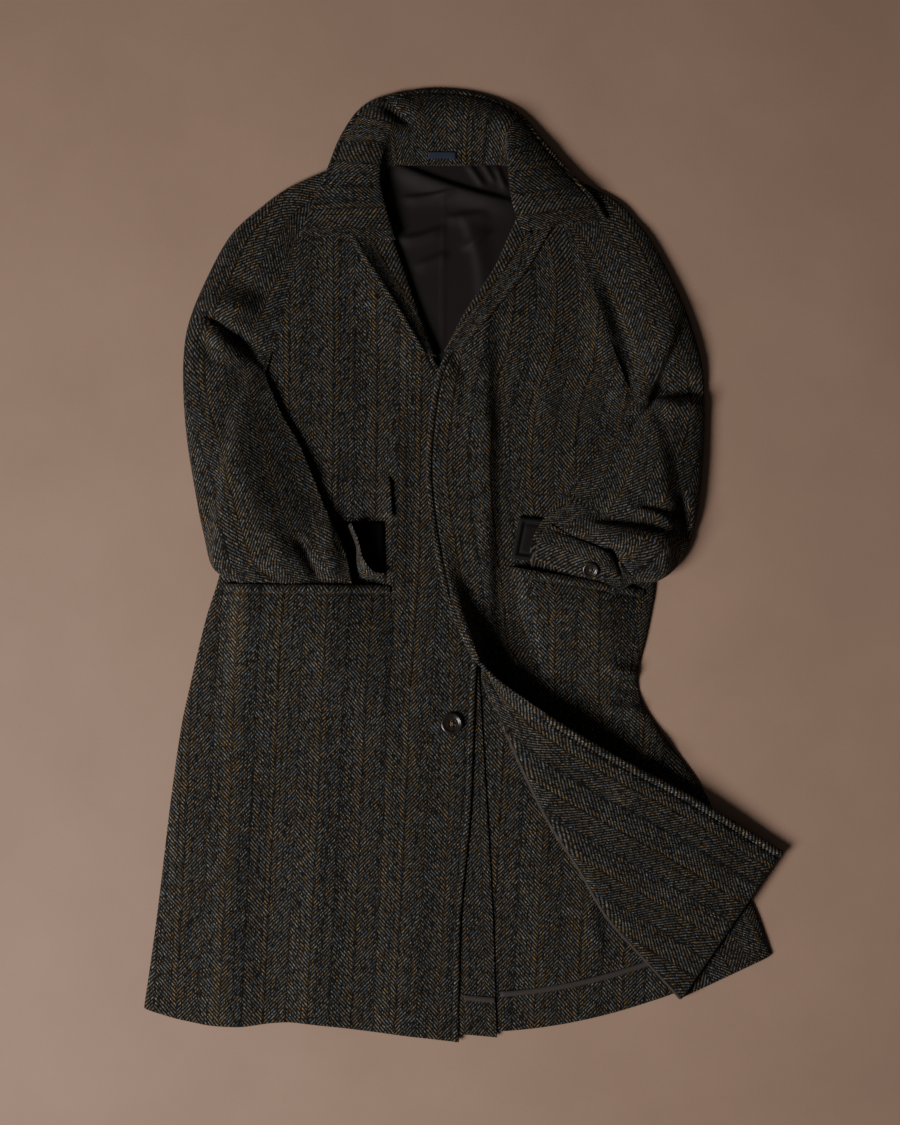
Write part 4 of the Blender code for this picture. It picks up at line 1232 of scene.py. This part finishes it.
@lru_cache(maxsize=None)
def collar():
    rows, count = 230, 64
    at = shares(COLLAR_LENGTH, rows, first=True, last=True)
    read = {name: through(column(COLLAR, name), at) for name in CollarRow._fields}
    neck, roll, out = (
        np.stack([read[name + axis] for axis in ("_x", "_y", "_z")], axis=1)
        for name in ("neck", "roll", "out")
    )
    stand = (neck + roll) / 2
    fall = (roll + out) / 2 + np.array([0, 0, COLLAR_CROWN])
    share = shares(COLLAR_WIDTH, count, last=True)
    points = np.array([
        np.stack([through(knots[:, k], share) for k in range(3)], axis=1)
        for knots in np.stack([neck, stand, roll, fall, out], axis=1)
    ])
    points[..., 2] += fold_height(points[..., 0], points[..., 1], FOLDS_COLLAR) * rise(share, 0.3, 0.5)
    across = lengths(points, 1)
    along = lengths(points[:, count // 2:count // 2 + 1], 0)
    along = np.broadcast_to(along - along[rows // 2], across.shape)
    return stitched_down(points, ("last",), up=-1), np.stack([along, across], axis=2)


def neck_facing(table, front, out, height, puff):
    """A facing rolled up out of the neck opening and laid back on its front."""
    rows, around, across = 90, 14, 30
    at = shares(FACING_LENGTH, rows, first=True, last=True)
    inner_y, width, shift = (through(column(table, name), at)[:, None] for name in StripRow._fields)
    inner_x = line_x(front, "edge_x", "edge_y", inner_y)
    lay = TWEED + REST
    turn = np.linspace(0, 1, around)
    roll = np.array(FACING_ROLL)
    rest = shares(FACING_WIDTH, across + 1, last=True)[None, 1:]
    rolled = np.repeat(through(roll[:, 0], turn)[None, :] * FACING_TURN, rows, axis=0)
    reach = np.concatenate([rolled, mix(roll[-1, 0] * FACING_TURN, width, rest)], axis=1)
    settle = mix(roll[-1, 1], 1.0, rise(rest, 0, 0.7)) * lay
    lifted = np.concatenate([through(roll[:, 1], turn)[None, :] * lay, settle], axis=1)
    x = inner_x + out * reach
    y = inner_y + shift * reach / width
    points = np.stack([x, y, height(x, y) + lifted], axis=2)
    across_cut = lengths(points, 1)
    along_cut = np.broadcast_to(lengths(points[:, -1:], 0), across_cut.shape)
    cut = np.stack([across_cut[:, -1:] - across_cut, along_cut], axis=2)
    return stitched_down(points, ("last",), up=out, depth=0, share=puff), cut


def patch_plan(corners, across, rows):
    """Plan of a four-cornered patch, from its left top corner, with rows running down."""
    tops = [np.array(corner, float) for corner in (corners.left_top, corners.right_top)]
    feet = [np.array(corner, float) for corner in (corners.left_foot, corners.right_foot)]
    share = shares(np.linalg.norm(tops[1] - tops[0]), across, first=True, last=True)[None, :, None]
    down = shares(np.linalg.norm(feet[0] - tops[0]), rows, first=True, last=True)[:, None, None]
    plan = mix(mix(*tops, share), mix(*feet, share), down)
    return plan[..., 0], plan[..., 1], share[0, :, 0][None, :], down[:, 0, 0][:, None]


def pocket(corners, height):
    """A patch pocket, held off its front by the cuff inside it."""
    x, y, share, down = patch_plan(corners, 84, 80)
    swell = rise(share, 0, 0.16) * (1 - rise(share, 0.6, 1)) * (1 - rise(down, 0.15, 0.85))
    points = np.stack([x, y, height(x, y) + TWEED + REST + POCKET_BULGE * swell], axis=2)
    sewn_sides = ("first", "last", "head")
    points[..., 2] -= SEWN_SETTLE * (1 - rise(border_reach(points, sewn_sides), 0, SEWN_REACH))
    points = stitched_down(points, sewn_sides, up=-1, depth=SEWN_SINK, share=SEWN_SINK)
    return stitched_down(points, ("foot",), inset=MOUTH_BAND, up=-1, share=MOUTH_PUFF)


@lru_cache(maxsize=None)
def pockets():
    """The right and the left patch pocket."""
    return pocket(POCKET_RIGHT, right_height), pocket(POCKET_LEFT, left_height)


def flap(corners, height, lift):
    x, y, _, _ = patch_plan(corners, 56, 44)
    return np.stack([x, y, height(x, y) + lift], axis=2)


def right_cut(points):
    return np.stack([points[..., 0] - front_line(points[..., 1]), points[..., 1]], axis=2)


def left_cut(points):
    """Flat cut of a patch on the left front, matched to the columns under it."""
    edge_x = line_x(FRONT_LEFT, "edge_x", "edge_y", np.maximum(points[..., 1], -40))
    return np.stack([points[..., 0] - edge_x, points[..., 1]], axis=2)


def on_sheet(points, place, turn, distance):
    """Points of a sheet at shares of its two directions, moved out from its wall."""
    rows, columns = points.shape[:2]
    outside = moved_out(points, distance)
    j = np.clip(place * (rows - 1), 0, rows - 1.001)
    i = np.clip(turn * (columns - 1), 0, columns - 1.001)
    j0 = j.astype(int)
    i0 = i.astype(int)
    dj = (j - j0)[..., None]
    di = (i - i0)[..., None]
    low = mix(outside[j0, i0], outside[j0, i0 + 1], di)
    high = mix(outside[j0 + 1, i0], outside[j0 + 1, i0 + 1], di)
    return mix(low, high, dj)


def length_cut(points):
    """Flat cut of a small piece whose columns run along its length."""
    across = lengths(points, 0)
    along = lengths(points, 1)
    return np.stack([across - across[-1:] / 2, along], axis=2)


def cuff_tab():
    """A pointed tab on the left cuff, from the sleeve's own surface, moved out."""
    first, last, start, tip = CUFF_TAB
    turn = mix(start, tip, shares(60, 44, last=True))[None, :]
    narrow = 1 - 0.6 * rise(turn, tip - 0.09, tip)
    half = (shares(30, 30, first=True, last=True)[:, None] - 0.5) * (last - first)
    place = (first + last) / 2 + half * narrow
    return on_sheet(left_sleeve()[0], place, np.broadcast_to(turn, place.shape), -(TWEED + REST))


def cuff_strap():
    """The right cuff's tab, seen on edge between the sleeve and the pocket's corner."""
    path = np.array(CUFF_STRAP_PATH, float)
    at = np.linspace(0, 1, 40)
    x = through(path[:, 0], at)[None, :]
    y = through(path[:, 1], at)[None, :]
    up = np.linspace(0, 1, 14)[:, None]
    foot = right_height(x, y) + TWEED * 1.5 + REST + LINING + 3 * SEAM
    z = foot + up * CUFF_STRAP_HEIGHT * (1 - 0.5 * rise(at, 0.5, 1)[None, :])
    spread = rise(at, 0.3, 0.8)[None, :] * (1 - up)
    x = x + CUFF_STRAP_LEAN[0] * up - CUFF_STRAP_SPREAD[0] * spread
    y = y + CUFF_STRAP_LEAN[1] * up - CUFF_STRAP_SPREAD[1] * spread
    return np.stack([x, y, z], axis=2)


def neck_label():
    first, last, start, end = NECK_LABEL
    down, turn = np.meshgrid(np.linspace(first, last, 24), np.linspace(start, end, 12), indexing="ij")
    return on_sheet(collar()[0], down, turn, -(TWEED / 2 + SEAM + LINING))


def hem_binding(back, low_x, high_x):
    """Tape over the raw edge of the turned hem, from the back's own points at the hem's depth."""
    hem = back[0]
    up = back[40] - back[0]
    up[:, 2] = 0
    up = up / np.linalg.norm(up, axis=1, keepdims=True)
    order = np.argsort(hem[:, 0])
    xs = np.linspace(low_x, high_x, 60)
    rows = []
    for share in np.linspace(-0.5, 0.5, 9):
        line = (hem + up * (HEM_DEPTH + share * BINDING_WIDTH))[order]
        y = np.interp(xs, line[:, 0], line[:, 1])
        z = np.interp(xs, line[:, 0], line[:, 2]) + TWEED / 2 + SEAM + LINING / 2
        rows.append(np.column_stack([xs, y, z - 0.9 * rise(share, 0, 0.5)]))
    return np.array(rows)


def placed(name, data):
    """Puts a mesh, a light or a camera into the scene."""
    made = bpy.data.objects.new(name, data)
    bpy.context.scene.collection.objects.link(made)
    return made


def mesh_object(name, verts, faces, look, cut=None):
    """A smooth mesh from points in millimetres, with its flat cut as a map where it is cloth."""
    mesh = bpy.data.meshes.new(name)
    mesh.from_pydata((verts * MM).tolist(), [], faces)
    if cut is not None:
        layer = mesh.uv_layers.new(name=CUT_MAP)
        layer.data.foreach_set("uv", (cut[np.ravel(faces)] * MM).ravel())
    mesh.materials.append(look)
    mesh.shade_smooth()
    return placed(name, mesh)


def border(grid):
    """The border of a grid, once round."""
    return np.concatenate([grid[0, :], grid[1:, -1], grid[-1, -2::-1], grid[-2:0:-1, 0]])


def cloth_wall(name, points, cut, wall, taper, look):
    """A closed cloth wall round a grid of middle points, with its flat cut as a map."""
    rows, columns = points.shape[:2]
    count = rows * columns
    half = normals(points) * (taper * wall / 2)[..., None]
    verts = np.concatenate([(points + half).reshape(-1, 3), (points - half).reshape(-1, 3)])
    index = np.arange(count).reshape(rows, columns)
    corners = (index[:-1, :-1], index[:-1, 1:], index[1:, 1:], index[1:, :-1])
    upper = np.stack(corners, axis=-1).reshape(-1, 4)
    lower = upper[:, ::-1] + count
    loop = border(index)
    after = np.roll(loop, -1)
    rim = np.stack([loop, loop + count, after + count, after], axis=-1)
    maps = np.tile(cut.reshape(-1, 2), (2, 1))
    return mesh_object(name, verts, np.concatenate([upper, lower, rim]).tolist(), look, maps)


def cut_size(cut):
    """Width, length and area of a flat cut, in metres."""
    loop = border(cut) * MM
    after = np.roll(loop, -1, axis=0)
    area = abs(np.sum(loop[:, 0] * after[:, 1] - loop[:, 1] * after[:, 0])) / 2
    width, length = (max(float(np.ptp(cut[..., k])) * MM, LEAST_CUT) for k in range(2))
    return (width, length), min(float(area), width * length)


def wear(made, slot, *nodes):
    """Puts a piece on the coat, in place of its solids."""
    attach(made, BODY)
    if nodes:
        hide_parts(*nodes)


CLOTHS = {
    "tweed": (TWEED, tweed_look, "herringbone_tweed"),
    "lining": (LINING, satin_look, "brown_lining"),
    "flap lining": (LINING, flap_satin_look, "brown_lining"),
    "lining with painted shade": (LINING, painted_shade_satin_look, "brown_lining"),
    "tape": (LINING, tape_look, "binding_tape"),
    "label": (LINING, label_look, "label_cloth"),
}


def cloth_piece(name, node, points, cut, rests_on, sides=ALL_SIDES, kind="tweed", under=0):
    """Makes one cloth piece, in place of its solid, and measures its flat cut.

    Its edges settle on the under side.
    """
    wall, look, slot = CLOTHS[kind]
    taper = edge_taper(points, sides)
    points = points + normals(points) * ((1 - taper) * (wall / 2 + 0.8 * REST) * under)[..., None]
    made = cloth_wall(name, points, cut, wall, taper, look())
    wear(made, slot, *([node] if node else []))
    flat, area = cut_size(cut)
    return made


def button(name, node, diameter, place, facing):
    """A turned horn button: a raised rim, a dished face and four holes."""
    radius = diameter / 2
    thick = BUTTON_THICK * diameter
    profile = np.array(BUTTON_PROFILE)
    at = np.linspace(0, 1, 90)
    r = through(profile[:, 0], at).clip(0)
    h = through(profile[:, 1], at)
    turns = 96
    angle = np.arange(turns) * 2 * math.pi / turns
    x = r[:, None] * np.cos(angle) * radius
    y = r[:, None] * np.sin(angle) * radius
    z = np.repeat(h[:, None] * thick, turns, axis=1)
    upper = (at > 0.6)[:, None]
    for side_x, side_y in ((-1, -1), (-1, 1), (1, -1), (1, 1)):
        reach = np.hypot(x - side_x * HOLE_AT * radius, y - side_y * HOLE_AT * radius)
        z = z - upper * 0.5 * thick * (1 - rise(reach, 0.07 * radius, 0.12 * radius))
    tilt = Vector(facing).to_track_quat("Z", "Y").to_matrix()
    grid = np.stack([x, y, z], axis=2)[1:-1]
    ends = np.array([[0, 0, 0], [0, 0, BUTTON_DISH * thick]])
    verts = np.concatenate([grid.reshape(-1, 3), ends]) @ np.array(tilt).T + np.array(place)
    rows = len(grid)
    index = np.arange(rows * turns).reshape(rows, turns)
    beside = np.roll(index, -1, axis=1)
    faces = np.stack([index[:-1], beside[:-1], beside[1:], index[1:]], axis=-1).reshape(-1, 4).tolist()
    last = rows * turns
    faces += [[last, beside[0, k], index[0, k]] for k in range(turns)]
    faces += [[last + 1, index[-1, k], beside[-1, k]] for k in range(turns)]
    made = mesh_object(name, verts, [[int(v) for v in face] for face in faces], horn_look())
    wear(made, "dark_horn", node)
    sew_button(name + "_thread", radius, thick, tilt, place)
    return made


def sew_button(name, radius, thick, tilt, place):
    """Two crossed pairs of thread strands through a button's four holes."""
    reach = HOLE_AT * radius
    strands = []
    for k in (-0.35, 0.0, 0.35):
        for sign in (-1, 1):
            off = k * 0.16 * radius
            strands.append((np.array([-reach, sign * -reach + off]), np.array([reach, sign * reach + off])))
    rings, turns = 14, 8
    verts = []
    faces = []
    width = 0.035 * radius
    for start, end in strands:
        run = (end - start) / np.linalg.norm(end - start)
        side = np.array([-run[1], run[0]])
        base = len(verts)
        for at in np.linspace(0, 1, rings):
            plan = mix(start, end, at)
            out = 2 * at - 1
            top = BUTTON_DISH * thick + 0.06 * radius * (1 - out ** 4) - 0.4 * thick * out ** 8
            for turn in np.linspace(0, 2 * math.pi, turns, endpoint=False):
                plan_place = plan + side * width * math.cos(turn)
                verts.append([*plan_place, top + width * math.sin(turn)])
        for ring in range(rings - 1):
            for k in range(turns):
                a = base + ring * turns + k
                b = base + ring * turns + (k + 1) % turns
                faces.append([a, a + turns, b + turns, b])
        faces.append([base + k for k in range(turns)])
        faces.append([base + (rings - 1) * turns + k for k in reversed(range(turns))])
    verts = np.array(verts) @ np.array(tilt).T + np.array(place)
    made = mesh_object(name, verts, faces, button_thread_look())
    work = bmesh.new()
    work.from_mesh(made.data)
    bmesh.ops.recalc_face_normals(work, faces=work.faces)
    work.to_mesh(made.data)
    work.free()
    wear(made, "binding_tape")


def inset_line(points, inset, out, low=0.0, high=1.0):
    """Points of a sheet at a distance from its last column, moved out from its wall."""
    across = lengths(points, 1)
    outside = moved_out(points, out)
    rows = len(points)
    picked = range(int(low * (rows - 1)), int(high * (rows - 1)) + 1)
    return np.array([
        [np.interp(across[j, -1] - inset, across[j], outside[j, :, k]) for k in range(3)] for j in picked
    ])


def square_line(points, inset, out):
    """Stitching round the sides, foot and mouth of a patch whose rows run down."""
    across = points.transpose(1, 0, 2)
    return [
        inset_line(points[:, ::-1], inset, -out, *PATCH_SIDE_SEWN),
        inset_line(across, inset, -out, *PATCH_END_SEWN),
        inset_line(points, inset, out, *PATCH_SIDE_SEWN),
        inset_line(across[:, ::-1], MOUTH_BAND, out, *PATCH_END_SEWN),
    ]


def stitch_tree(cloth):
    """Nodes that lay one stitch after another along sewn lines."""
    tree = bpy.data.node_groups.new("top stitching", "GeometryNodeTree")
    face = tree.interface
    face.new_socket("Geometry", in_out="INPUT", socket_type="NodeSocketGeometry")
    for name in ("Stitch length", "Stitch gap", "Thread width"):
        face.new_socket(name, in_out="INPUT", socket_type="NodeSocketFloat")
    face.new_socket("Thread", in_out="INPUT", socket_type="NodeSocketMaterial")
    face.new_socket("Geometry", in_out="OUTPUT", socket_type="NodeSocketGeometry")

    def node(kind, **values):
        made = tree.nodes.new(kind)
        for name, value in values.items():
            setattr(made, name, value)
        return made

    def link(first, second):
        tree.links.new(first, second)

    given = node("NodeGroupInput")
    curve = node("GeometryNodeMeshToCurve")
    even = node("GeometryNodeResampleCurve", mode="LENGTH")
    spacing = node("ShaderNodeMath", operation="ADD")
    bead = node("GeometryNodeMeshUVSphere")
    bead.inputs["Segments"].default_value = 6
    bead.inputs["Rings"].default_value = 5
    bead.inputs["Radius"].default_value = 0.5
    size = node("ShaderNodeCombineXYZ")
    tangent = node("GeometryNodeInputTangent")
    turn = node("FunctionNodeAlignRotationToVector", axis="X")
    lay = node("GeometryNodeInstanceOnPoints")
    real = node("GeometryNodeRealizeInstances")
    paint = node("GeometryNodeSetMaterial")
    result = node("NodeGroupOutput")
    link(given.outputs["Geometry"], curve.inputs["Mesh"])
    link(curve.outputs["Curve"], even.inputs["Curve"])
    link(given.outputs["Stitch length"], spacing.inputs[0])
    link(given.outputs["Stitch gap"], spacing.inputs[1])
    link(spacing.outputs[0], even.inputs["Length"])
    link(even.outputs["Curve"], lay.inputs["Points"])
    link(bead.outputs["Mesh"], lay.inputs["Instance"])
    link(tangent.outputs[0], turn.inputs["Vector"])
    link(turn.outputs["Rotation"], lay.inputs["Rotation"])
    link(given.outputs["Stitch length"], size.inputs["X"])
    link(given.outputs["Thread width"], size.inputs["Y"])
    link(given.outputs["Thread width"], size.inputs["Z"])
    link(size.outputs[0], lay.inputs["Scale"])
    link(lay.outputs["Instances"], real.inputs["Geometry"])
    link(real.outputs["Geometry"], paint.inputs["Geometry"])
    link(given.outputs["Thread"], paint.inputs["Material"])
    link(paint.outputs["Geometry"], result.inputs["Geometry"])
    values = {
        "Stitch length": cloth.stitch_length,
        "Stitch gap": cloth.stitch_gap,
        "Thread width": cloth.thread_width,
        "Thread": thread_look(),
    }
    return tree, values


def sewn(name, lines):
    """Lays stitches along lines of points and keeps them as one plain mesh."""
    verts = []
    edges = []
    for line in lines:
        start = len(verts)
        verts.extend((np.asarray(line) * MM).tolist())
        edges.extend((k, k + 1) for k in range(start, len(verts) - 1))
    mesh = bpy.data.meshes.new(name + "_path")
    mesh.from_pydata(verts, edges, [])
    path = placed(name + "_path", mesh)
    tree, values = stitch_tree(settings())
    nodes = path.modifiers.new("stitches", "NODES")
    nodes.node_group = tree
    for item in tree.interface.items_tree:
        if item.in_out == "INPUT" and item.name in values:
            nodes[item.identifier] = values[item.name]
    shown = path.evaluated_get(bpy.context.evaluated_depsgraph_get())
    stitches = bpy.data.meshes.new_from_object(shown)
    bpy.data.objects.remove(path)
    if not stitches.polygons:
        raise RuntimeError(f"{name}: no stitches were made")
    stitches.name = name
    stitches.shade_smooth()
    wear(placed(name, stitches), "binding_tape")


class COAT_OT_backs(bpy.types.Operator):
    """Make the two halves of the back with their turned-up hems"""

    bl_idname = "coat.backs"
    bl_label = "Backs"

    def execute(self, context):
        cloth_piece("right_back", "back_right", *right_back(), rests_on=["left_back"])
        cloth_piece("left_back", "back_left", *left_back(), rests_on=[])
        return {"FINISHED"}


class COAT_OT_lining(bpy.types.Operator):
    """Make the satin lining that shows in the neck"""

    bl_idname = "coat.lining"
    bl_label = "Neck lining"

    def execute(self, context):
        under = ["right_back", "left_back"]
        cloth_piece("neck_lining", "back_lining", *neck_lining(), rests_on=under, kind="lining")
        return {"FINISHED"}


class COAT_OT_fronts(bpy.types.Operator):
    """Make the two fronts, the left one with its corner turned back"""

    bl_idname = "coat.fronts"
    bl_label = "Fronts"

    def execute(self, context):
        free = ("last", "foot")
        right, left = right_front(), left_front()[:2]
        cloth_piece("right_front", "front_right", *right, rests_on=["right_back"], sides=free, under=-1)
        cloth_piece("left_front", "front_left", *left, rests_on=["left_back"], sides=free, under=1)
        return {"FINISHED"}


class COAT_OT_facings(bpy.types.Operator):
    """Make the facings at the neck opening and on the turned-back corner"""

    bl_idname = "coat.facings"
    bl_label = "Facings"

    def execute(self, context):
        right = neck_facing(FACING_RIGHT, FRONT_RIGHT, -1, right_height, RIGHT_FACING_PUFF)
        left = neck_facing(FACING_LEFT, FRONT_LEFT, 1, left_height, LEFT_FACING_PUFF)
        cloth_piece("right_neck_facing", "facing_right", *right, rests_on=["right_front"])
        cloth_piece("left_neck_facing", "facing_left", *left, rests_on=["left_front"], under=-1)
        cloth_piece("skirt_facing", "facing_left_skirt", *skirt_facing(), rests_on=["left_front"])
        tape = facing_tape()
        cloth_piece("skirt_facing_tape", None, tape, length_cut(tape), rests_on=["skirt_facing"], kind="tape")
        return {"FINISHED"}


class COAT_OT_pockets(bpy.types.Operator):
    """Make the patch pockets and their flaps"""

    bl_idname = "coat.pockets"
    bl_label = "Pockets and flaps"

    def execute(self, context):
        for side, points, cut in zip(("right", "left"), pockets(), (right_cut, left_cut)):
            cloth_piece(
                side + "_pocket", "pocket_" + side, points, cut(points), rests_on=[side + "_front"],
                sides=("foot",),
            )
        lay = TWEED + REST
        lined = lay + TWEED / 2 + SEAM + LINING / 2
        for side, corners, height, lift, bordered, kind in (
            # The right flap's lining carries painted shade for the shadow of the sleeve and the cuff strap
            ("right", FLAP_RIGHT, right_height, 0, RIGHT_FLAP_PUFF, "lining with painted shade"),
            ("left", FLAP_LEFT, left_height, LEFT_FLAP_LIFT, LEFT_FLAP_PUFF, "flap lining"),
        ):
            outer = flap(corners, height, lay + lift)
            inner = flap(corners, height, lined + lift)
            inner = stitched_down(inner, ALL_SIDES, up=-1, share=bordered)
            node = "flap_" + side
            cloth_piece(side + "_flap", node, outer, outer[..., :2], rests_on=[side + "_front"], under=1)
            cloth_piece(
                side + "_flap_lining", node + "_lining", inner, inner[..., :2], rests_on=[side + "_flap"],
                kind=kind, under=1,
            )
        ticket = flap(TICKET_FLAP, right_height, lay)
        ticket[..., 2] -= SEWN_SETTLE * (1 - rise(border_reach(ticket, ("foot",)), 0, SEWN_REACH))
        free = rise(border_reach(ticket, ("foot",)), 0, TICKET_REACH)
        ticket[..., 2] += TICKET_CURL * free * (1 - rise(border_reach(ticket, ("last",)), 0, TICKET_REACH))
        cloth_piece(
            "ticket_pocket_flap", "ticket_flap", ticket, right_cut(ticket), rests_on=["right_front"],
            sides=("first", "last", "head"), under=1,
        )
        return {"FINISHED"}


class COAT_OT_sleeves(bpy.types.Operator):
    """Make the raglan sleeves and their cuff tabs"""

    bl_idname = "coat.sleeves"
    bl_label = "Sleeves"

    def execute(self, context):
        for side, made in (("right", right_sleeve), ("left", left_sleeve)):
            front = [side + "_front"]
            cloth_piece(side + "_sleeve", "sleeve_" + side, *made(), rests_on=front, sides=("head",))
        tab, strap = cuff_tab(), cuff_strap()
        cloth_piece("left_cuff_tab", "cuff_tab_left", tab, length_cut(tab), rests_on=["left_sleeve"], under=1)
        under = ["right_flap_lining"]
        cloth_piece("right_cuff_tab", "cuff_tab_right", strap, length_cut(strap), rests_on=under)
        return {"FINISHED"}


class COAT_OT_collar(bpy.types.Operator):
    """Make the collar and the plain neck label"""

    bl_idname = "coat.collar"
    bl_label = "Collar"

    def execute(self, context):
        cloth_piece("turned_collar", "collar", *collar(), rests_on=["right_sleeve", "left_sleeve"])
        label = neck_label()
        under = ["turned_collar"]
        cloth_piece("plain_label", "neck_label", label, length_cut(label), rests_on=under, kind="label")
        return {"FINISHED"}


class COAT_OT_bindings(bpy.types.Operator):
    """Make the tape over the raw edges of the hem"""

    bl_idname = "coat.bindings"
    bl_label = "Hem bindings"

    def execute(self, context):
        for side, back, reach in (
            ("right", right_back, HEM_BINDING_RIGHT),
            ("left", left_back, HEM_BINDING_LEFT),
        ):
            tape = hem_binding(back()[0], *reach)
            cloth_piece(
                side + "_hem_tape", "hem_binding_" + side, tape, length_cut(tape), rests_on=[side + "_back"],
                kind="tape",
            )
        return {"FINISHED"}


class COAT_OT_buttons(bpy.types.Operator):
    """Make the horn buttons of the front and the left cuff"""

    bl_idname = "coat.buttons"
    bl_label = "Buttons"

    def execute(self, context):
        x, y = COAT_BUTTON_AT
        seat = float(right_height(np.array(x), np.array(y))) + TWEED / 2 + REST
        button("front_button", "coat_button", COAT_BUTTON, (x, y, seat), (0, 0, 1))
        down, turn = CUFF_BUTTON_AT
        one = np.array([[down]]), np.array([[turn]])
        wall = on_sheet(left_sleeve()[0], *one, 0)[0, 0]
        seat = on_sheet(left_sleeve()[0], *one, -(1.5 * TWEED + REST + 2.5 * SEAM))[0, 0]
        button("cuff_button", "cuff_button_left", CUFF_BUTTON, seat, seat - wall)
        return {"FINISHED"}


class COAT_OT_stitching(bpy.types.Operator):
    """Sew the lines of top stitching along the edges"""

    bl_idname = "coat.stitching"
    bl_label = "Top stitching"

    def execute(self, context):
        up = TWEED / 2
        sewn("right_front_stitching", [inset_line(right_front()[0], STITCH_INSET, up, *RIGHT_FRONT_SEWN)])
        front = inset_line(left_front()[0], STITCH_INSET, -up, *LEFT_FRONT_SEWN)
        facing = inset_line(skirt_facing()[0], FACING_SEAM, up, *SKIRT_FACING_SEWN)
        sewn("left_front_stitching", [front, facing])
        sewn("collar_stitching", [inset_line(collar()[0], STITCH_INSET, -up, *COLLAR_SEWN)])
        lines = [line for points in pockets() for line in square_line(points, STITCH_INSET, -up)]
        sewn("pocket_stitching", lines)
        return {"FINISHED"}


class COAT_OT_stage(bpy.types.Operator):
    """Lay the floor, set the lights and hang the camera over the coat"""

    bl_idname = "coat.stage"
    bl_label = "Stage"

    def execute(self, context):
        stage = context.scene.coat_stage
        mesh = bpy.data.meshes.new("floor")
        corners = [
            (x * FLOOR_REACH, y * FLOOR_REACH, FLOOR_LEVEL) for x, y in ((-1, -1), (1, -1), (1, 1), (-1, 1))
        ]
        mesh.from_pydata(corners, [], [(0, 1, 2, 3)])
        mesh.materials.append(floor_look(rgb(stage.floor)))
        placed("floor", mesh)
        self.hang_light(stage.key_power, stage.key_size)
        world = bpy.data.worlds.new("studio")
        world.use_nodes = True
        back = world.node_tree.nodes["Background"]
        back.inputs["Color"].default_value = (1.0, 0.97, 0.94, 1)
        back.inputs["Strength"].default_value = stage.fill
        context.scene.world = world
        camera = bpy.data.cameras.new("camera")
        camera.sensor_width = 36
        camera.lens = camera.sensor_width * stage.camera_height / stage.view_height
        hung = placed("camera", camera)
        hung.location = (stage.camera_across, stage.camera_along, stage.camera_height)
        context.scene.camera = hung
        return {"FINISHED"}

    def hang_light(self, power, breadth):
        lamp = bpy.data.lights.new("key light", "AREA")
        lamp.energy = power
        lamp.shape = "DISK"
        lamp.size = breadth
        lamp.spread = math.radians(KEY_SPREAD)
        lamp.color = (1.0, 0.975, 0.95)
        hung = placed("key light", lamp)
        hung.location = KEY_PLACE
        hung.rotation_euler = (Vector(KEY_AIM) - Vector(KEY_PLACE)).to_track_quat("-Z", "Y").to_euler()


STEPS = (
    COAT_OT_stage,
    COAT_OT_backs,
    COAT_OT_lining,
    COAT_OT_fronts,
    COAT_OT_facings,
    COAT_OT_pockets,
    COAT_OT_sleeves,
    COAT_OT_collar,
    COAT_OT_bindings,
    COAT_OT_buttons,
    COAT_OT_stitching,
)


class COAT_PT_panel(bpy.types.Panel):
    """Steps that make the coat"""

    bl_idname = "COAT_PT_panel"
    bl_label = "Raglan coat"
    bl_space_type = "VIEW_3D"
    bl_region_type = "UI"
    bl_category = "Coat"

    def draw(self, context):
        for step in STEPS:
            self.layout.operator(step.bl_idname)


CLASSES = (CoatCloth, CoatStage, *STEPS, COAT_PT_panel)


def register():
    for part in CLASSES:
        bpy.utils.register_class(part)
    bpy.types.Scene.coat_cloth = PointerProperty(type=CoatCloth)
    bpy.types.Scene.coat_stage = PointerProperty(type=CoatStage)


def unregister():
    del bpy.types.Scene.coat_stage
    del bpy.types.Scene.coat_cloth
    for part in reversed(CLASSES):
        bpy.utils.unregister_class(part)


def main():
    register()
    for step in STEPS:
        group, name = step.bl_idname.split(".")
        getattr(getattr(bpy.ops, group), name)()


if __name__ == "__main__":
    main()
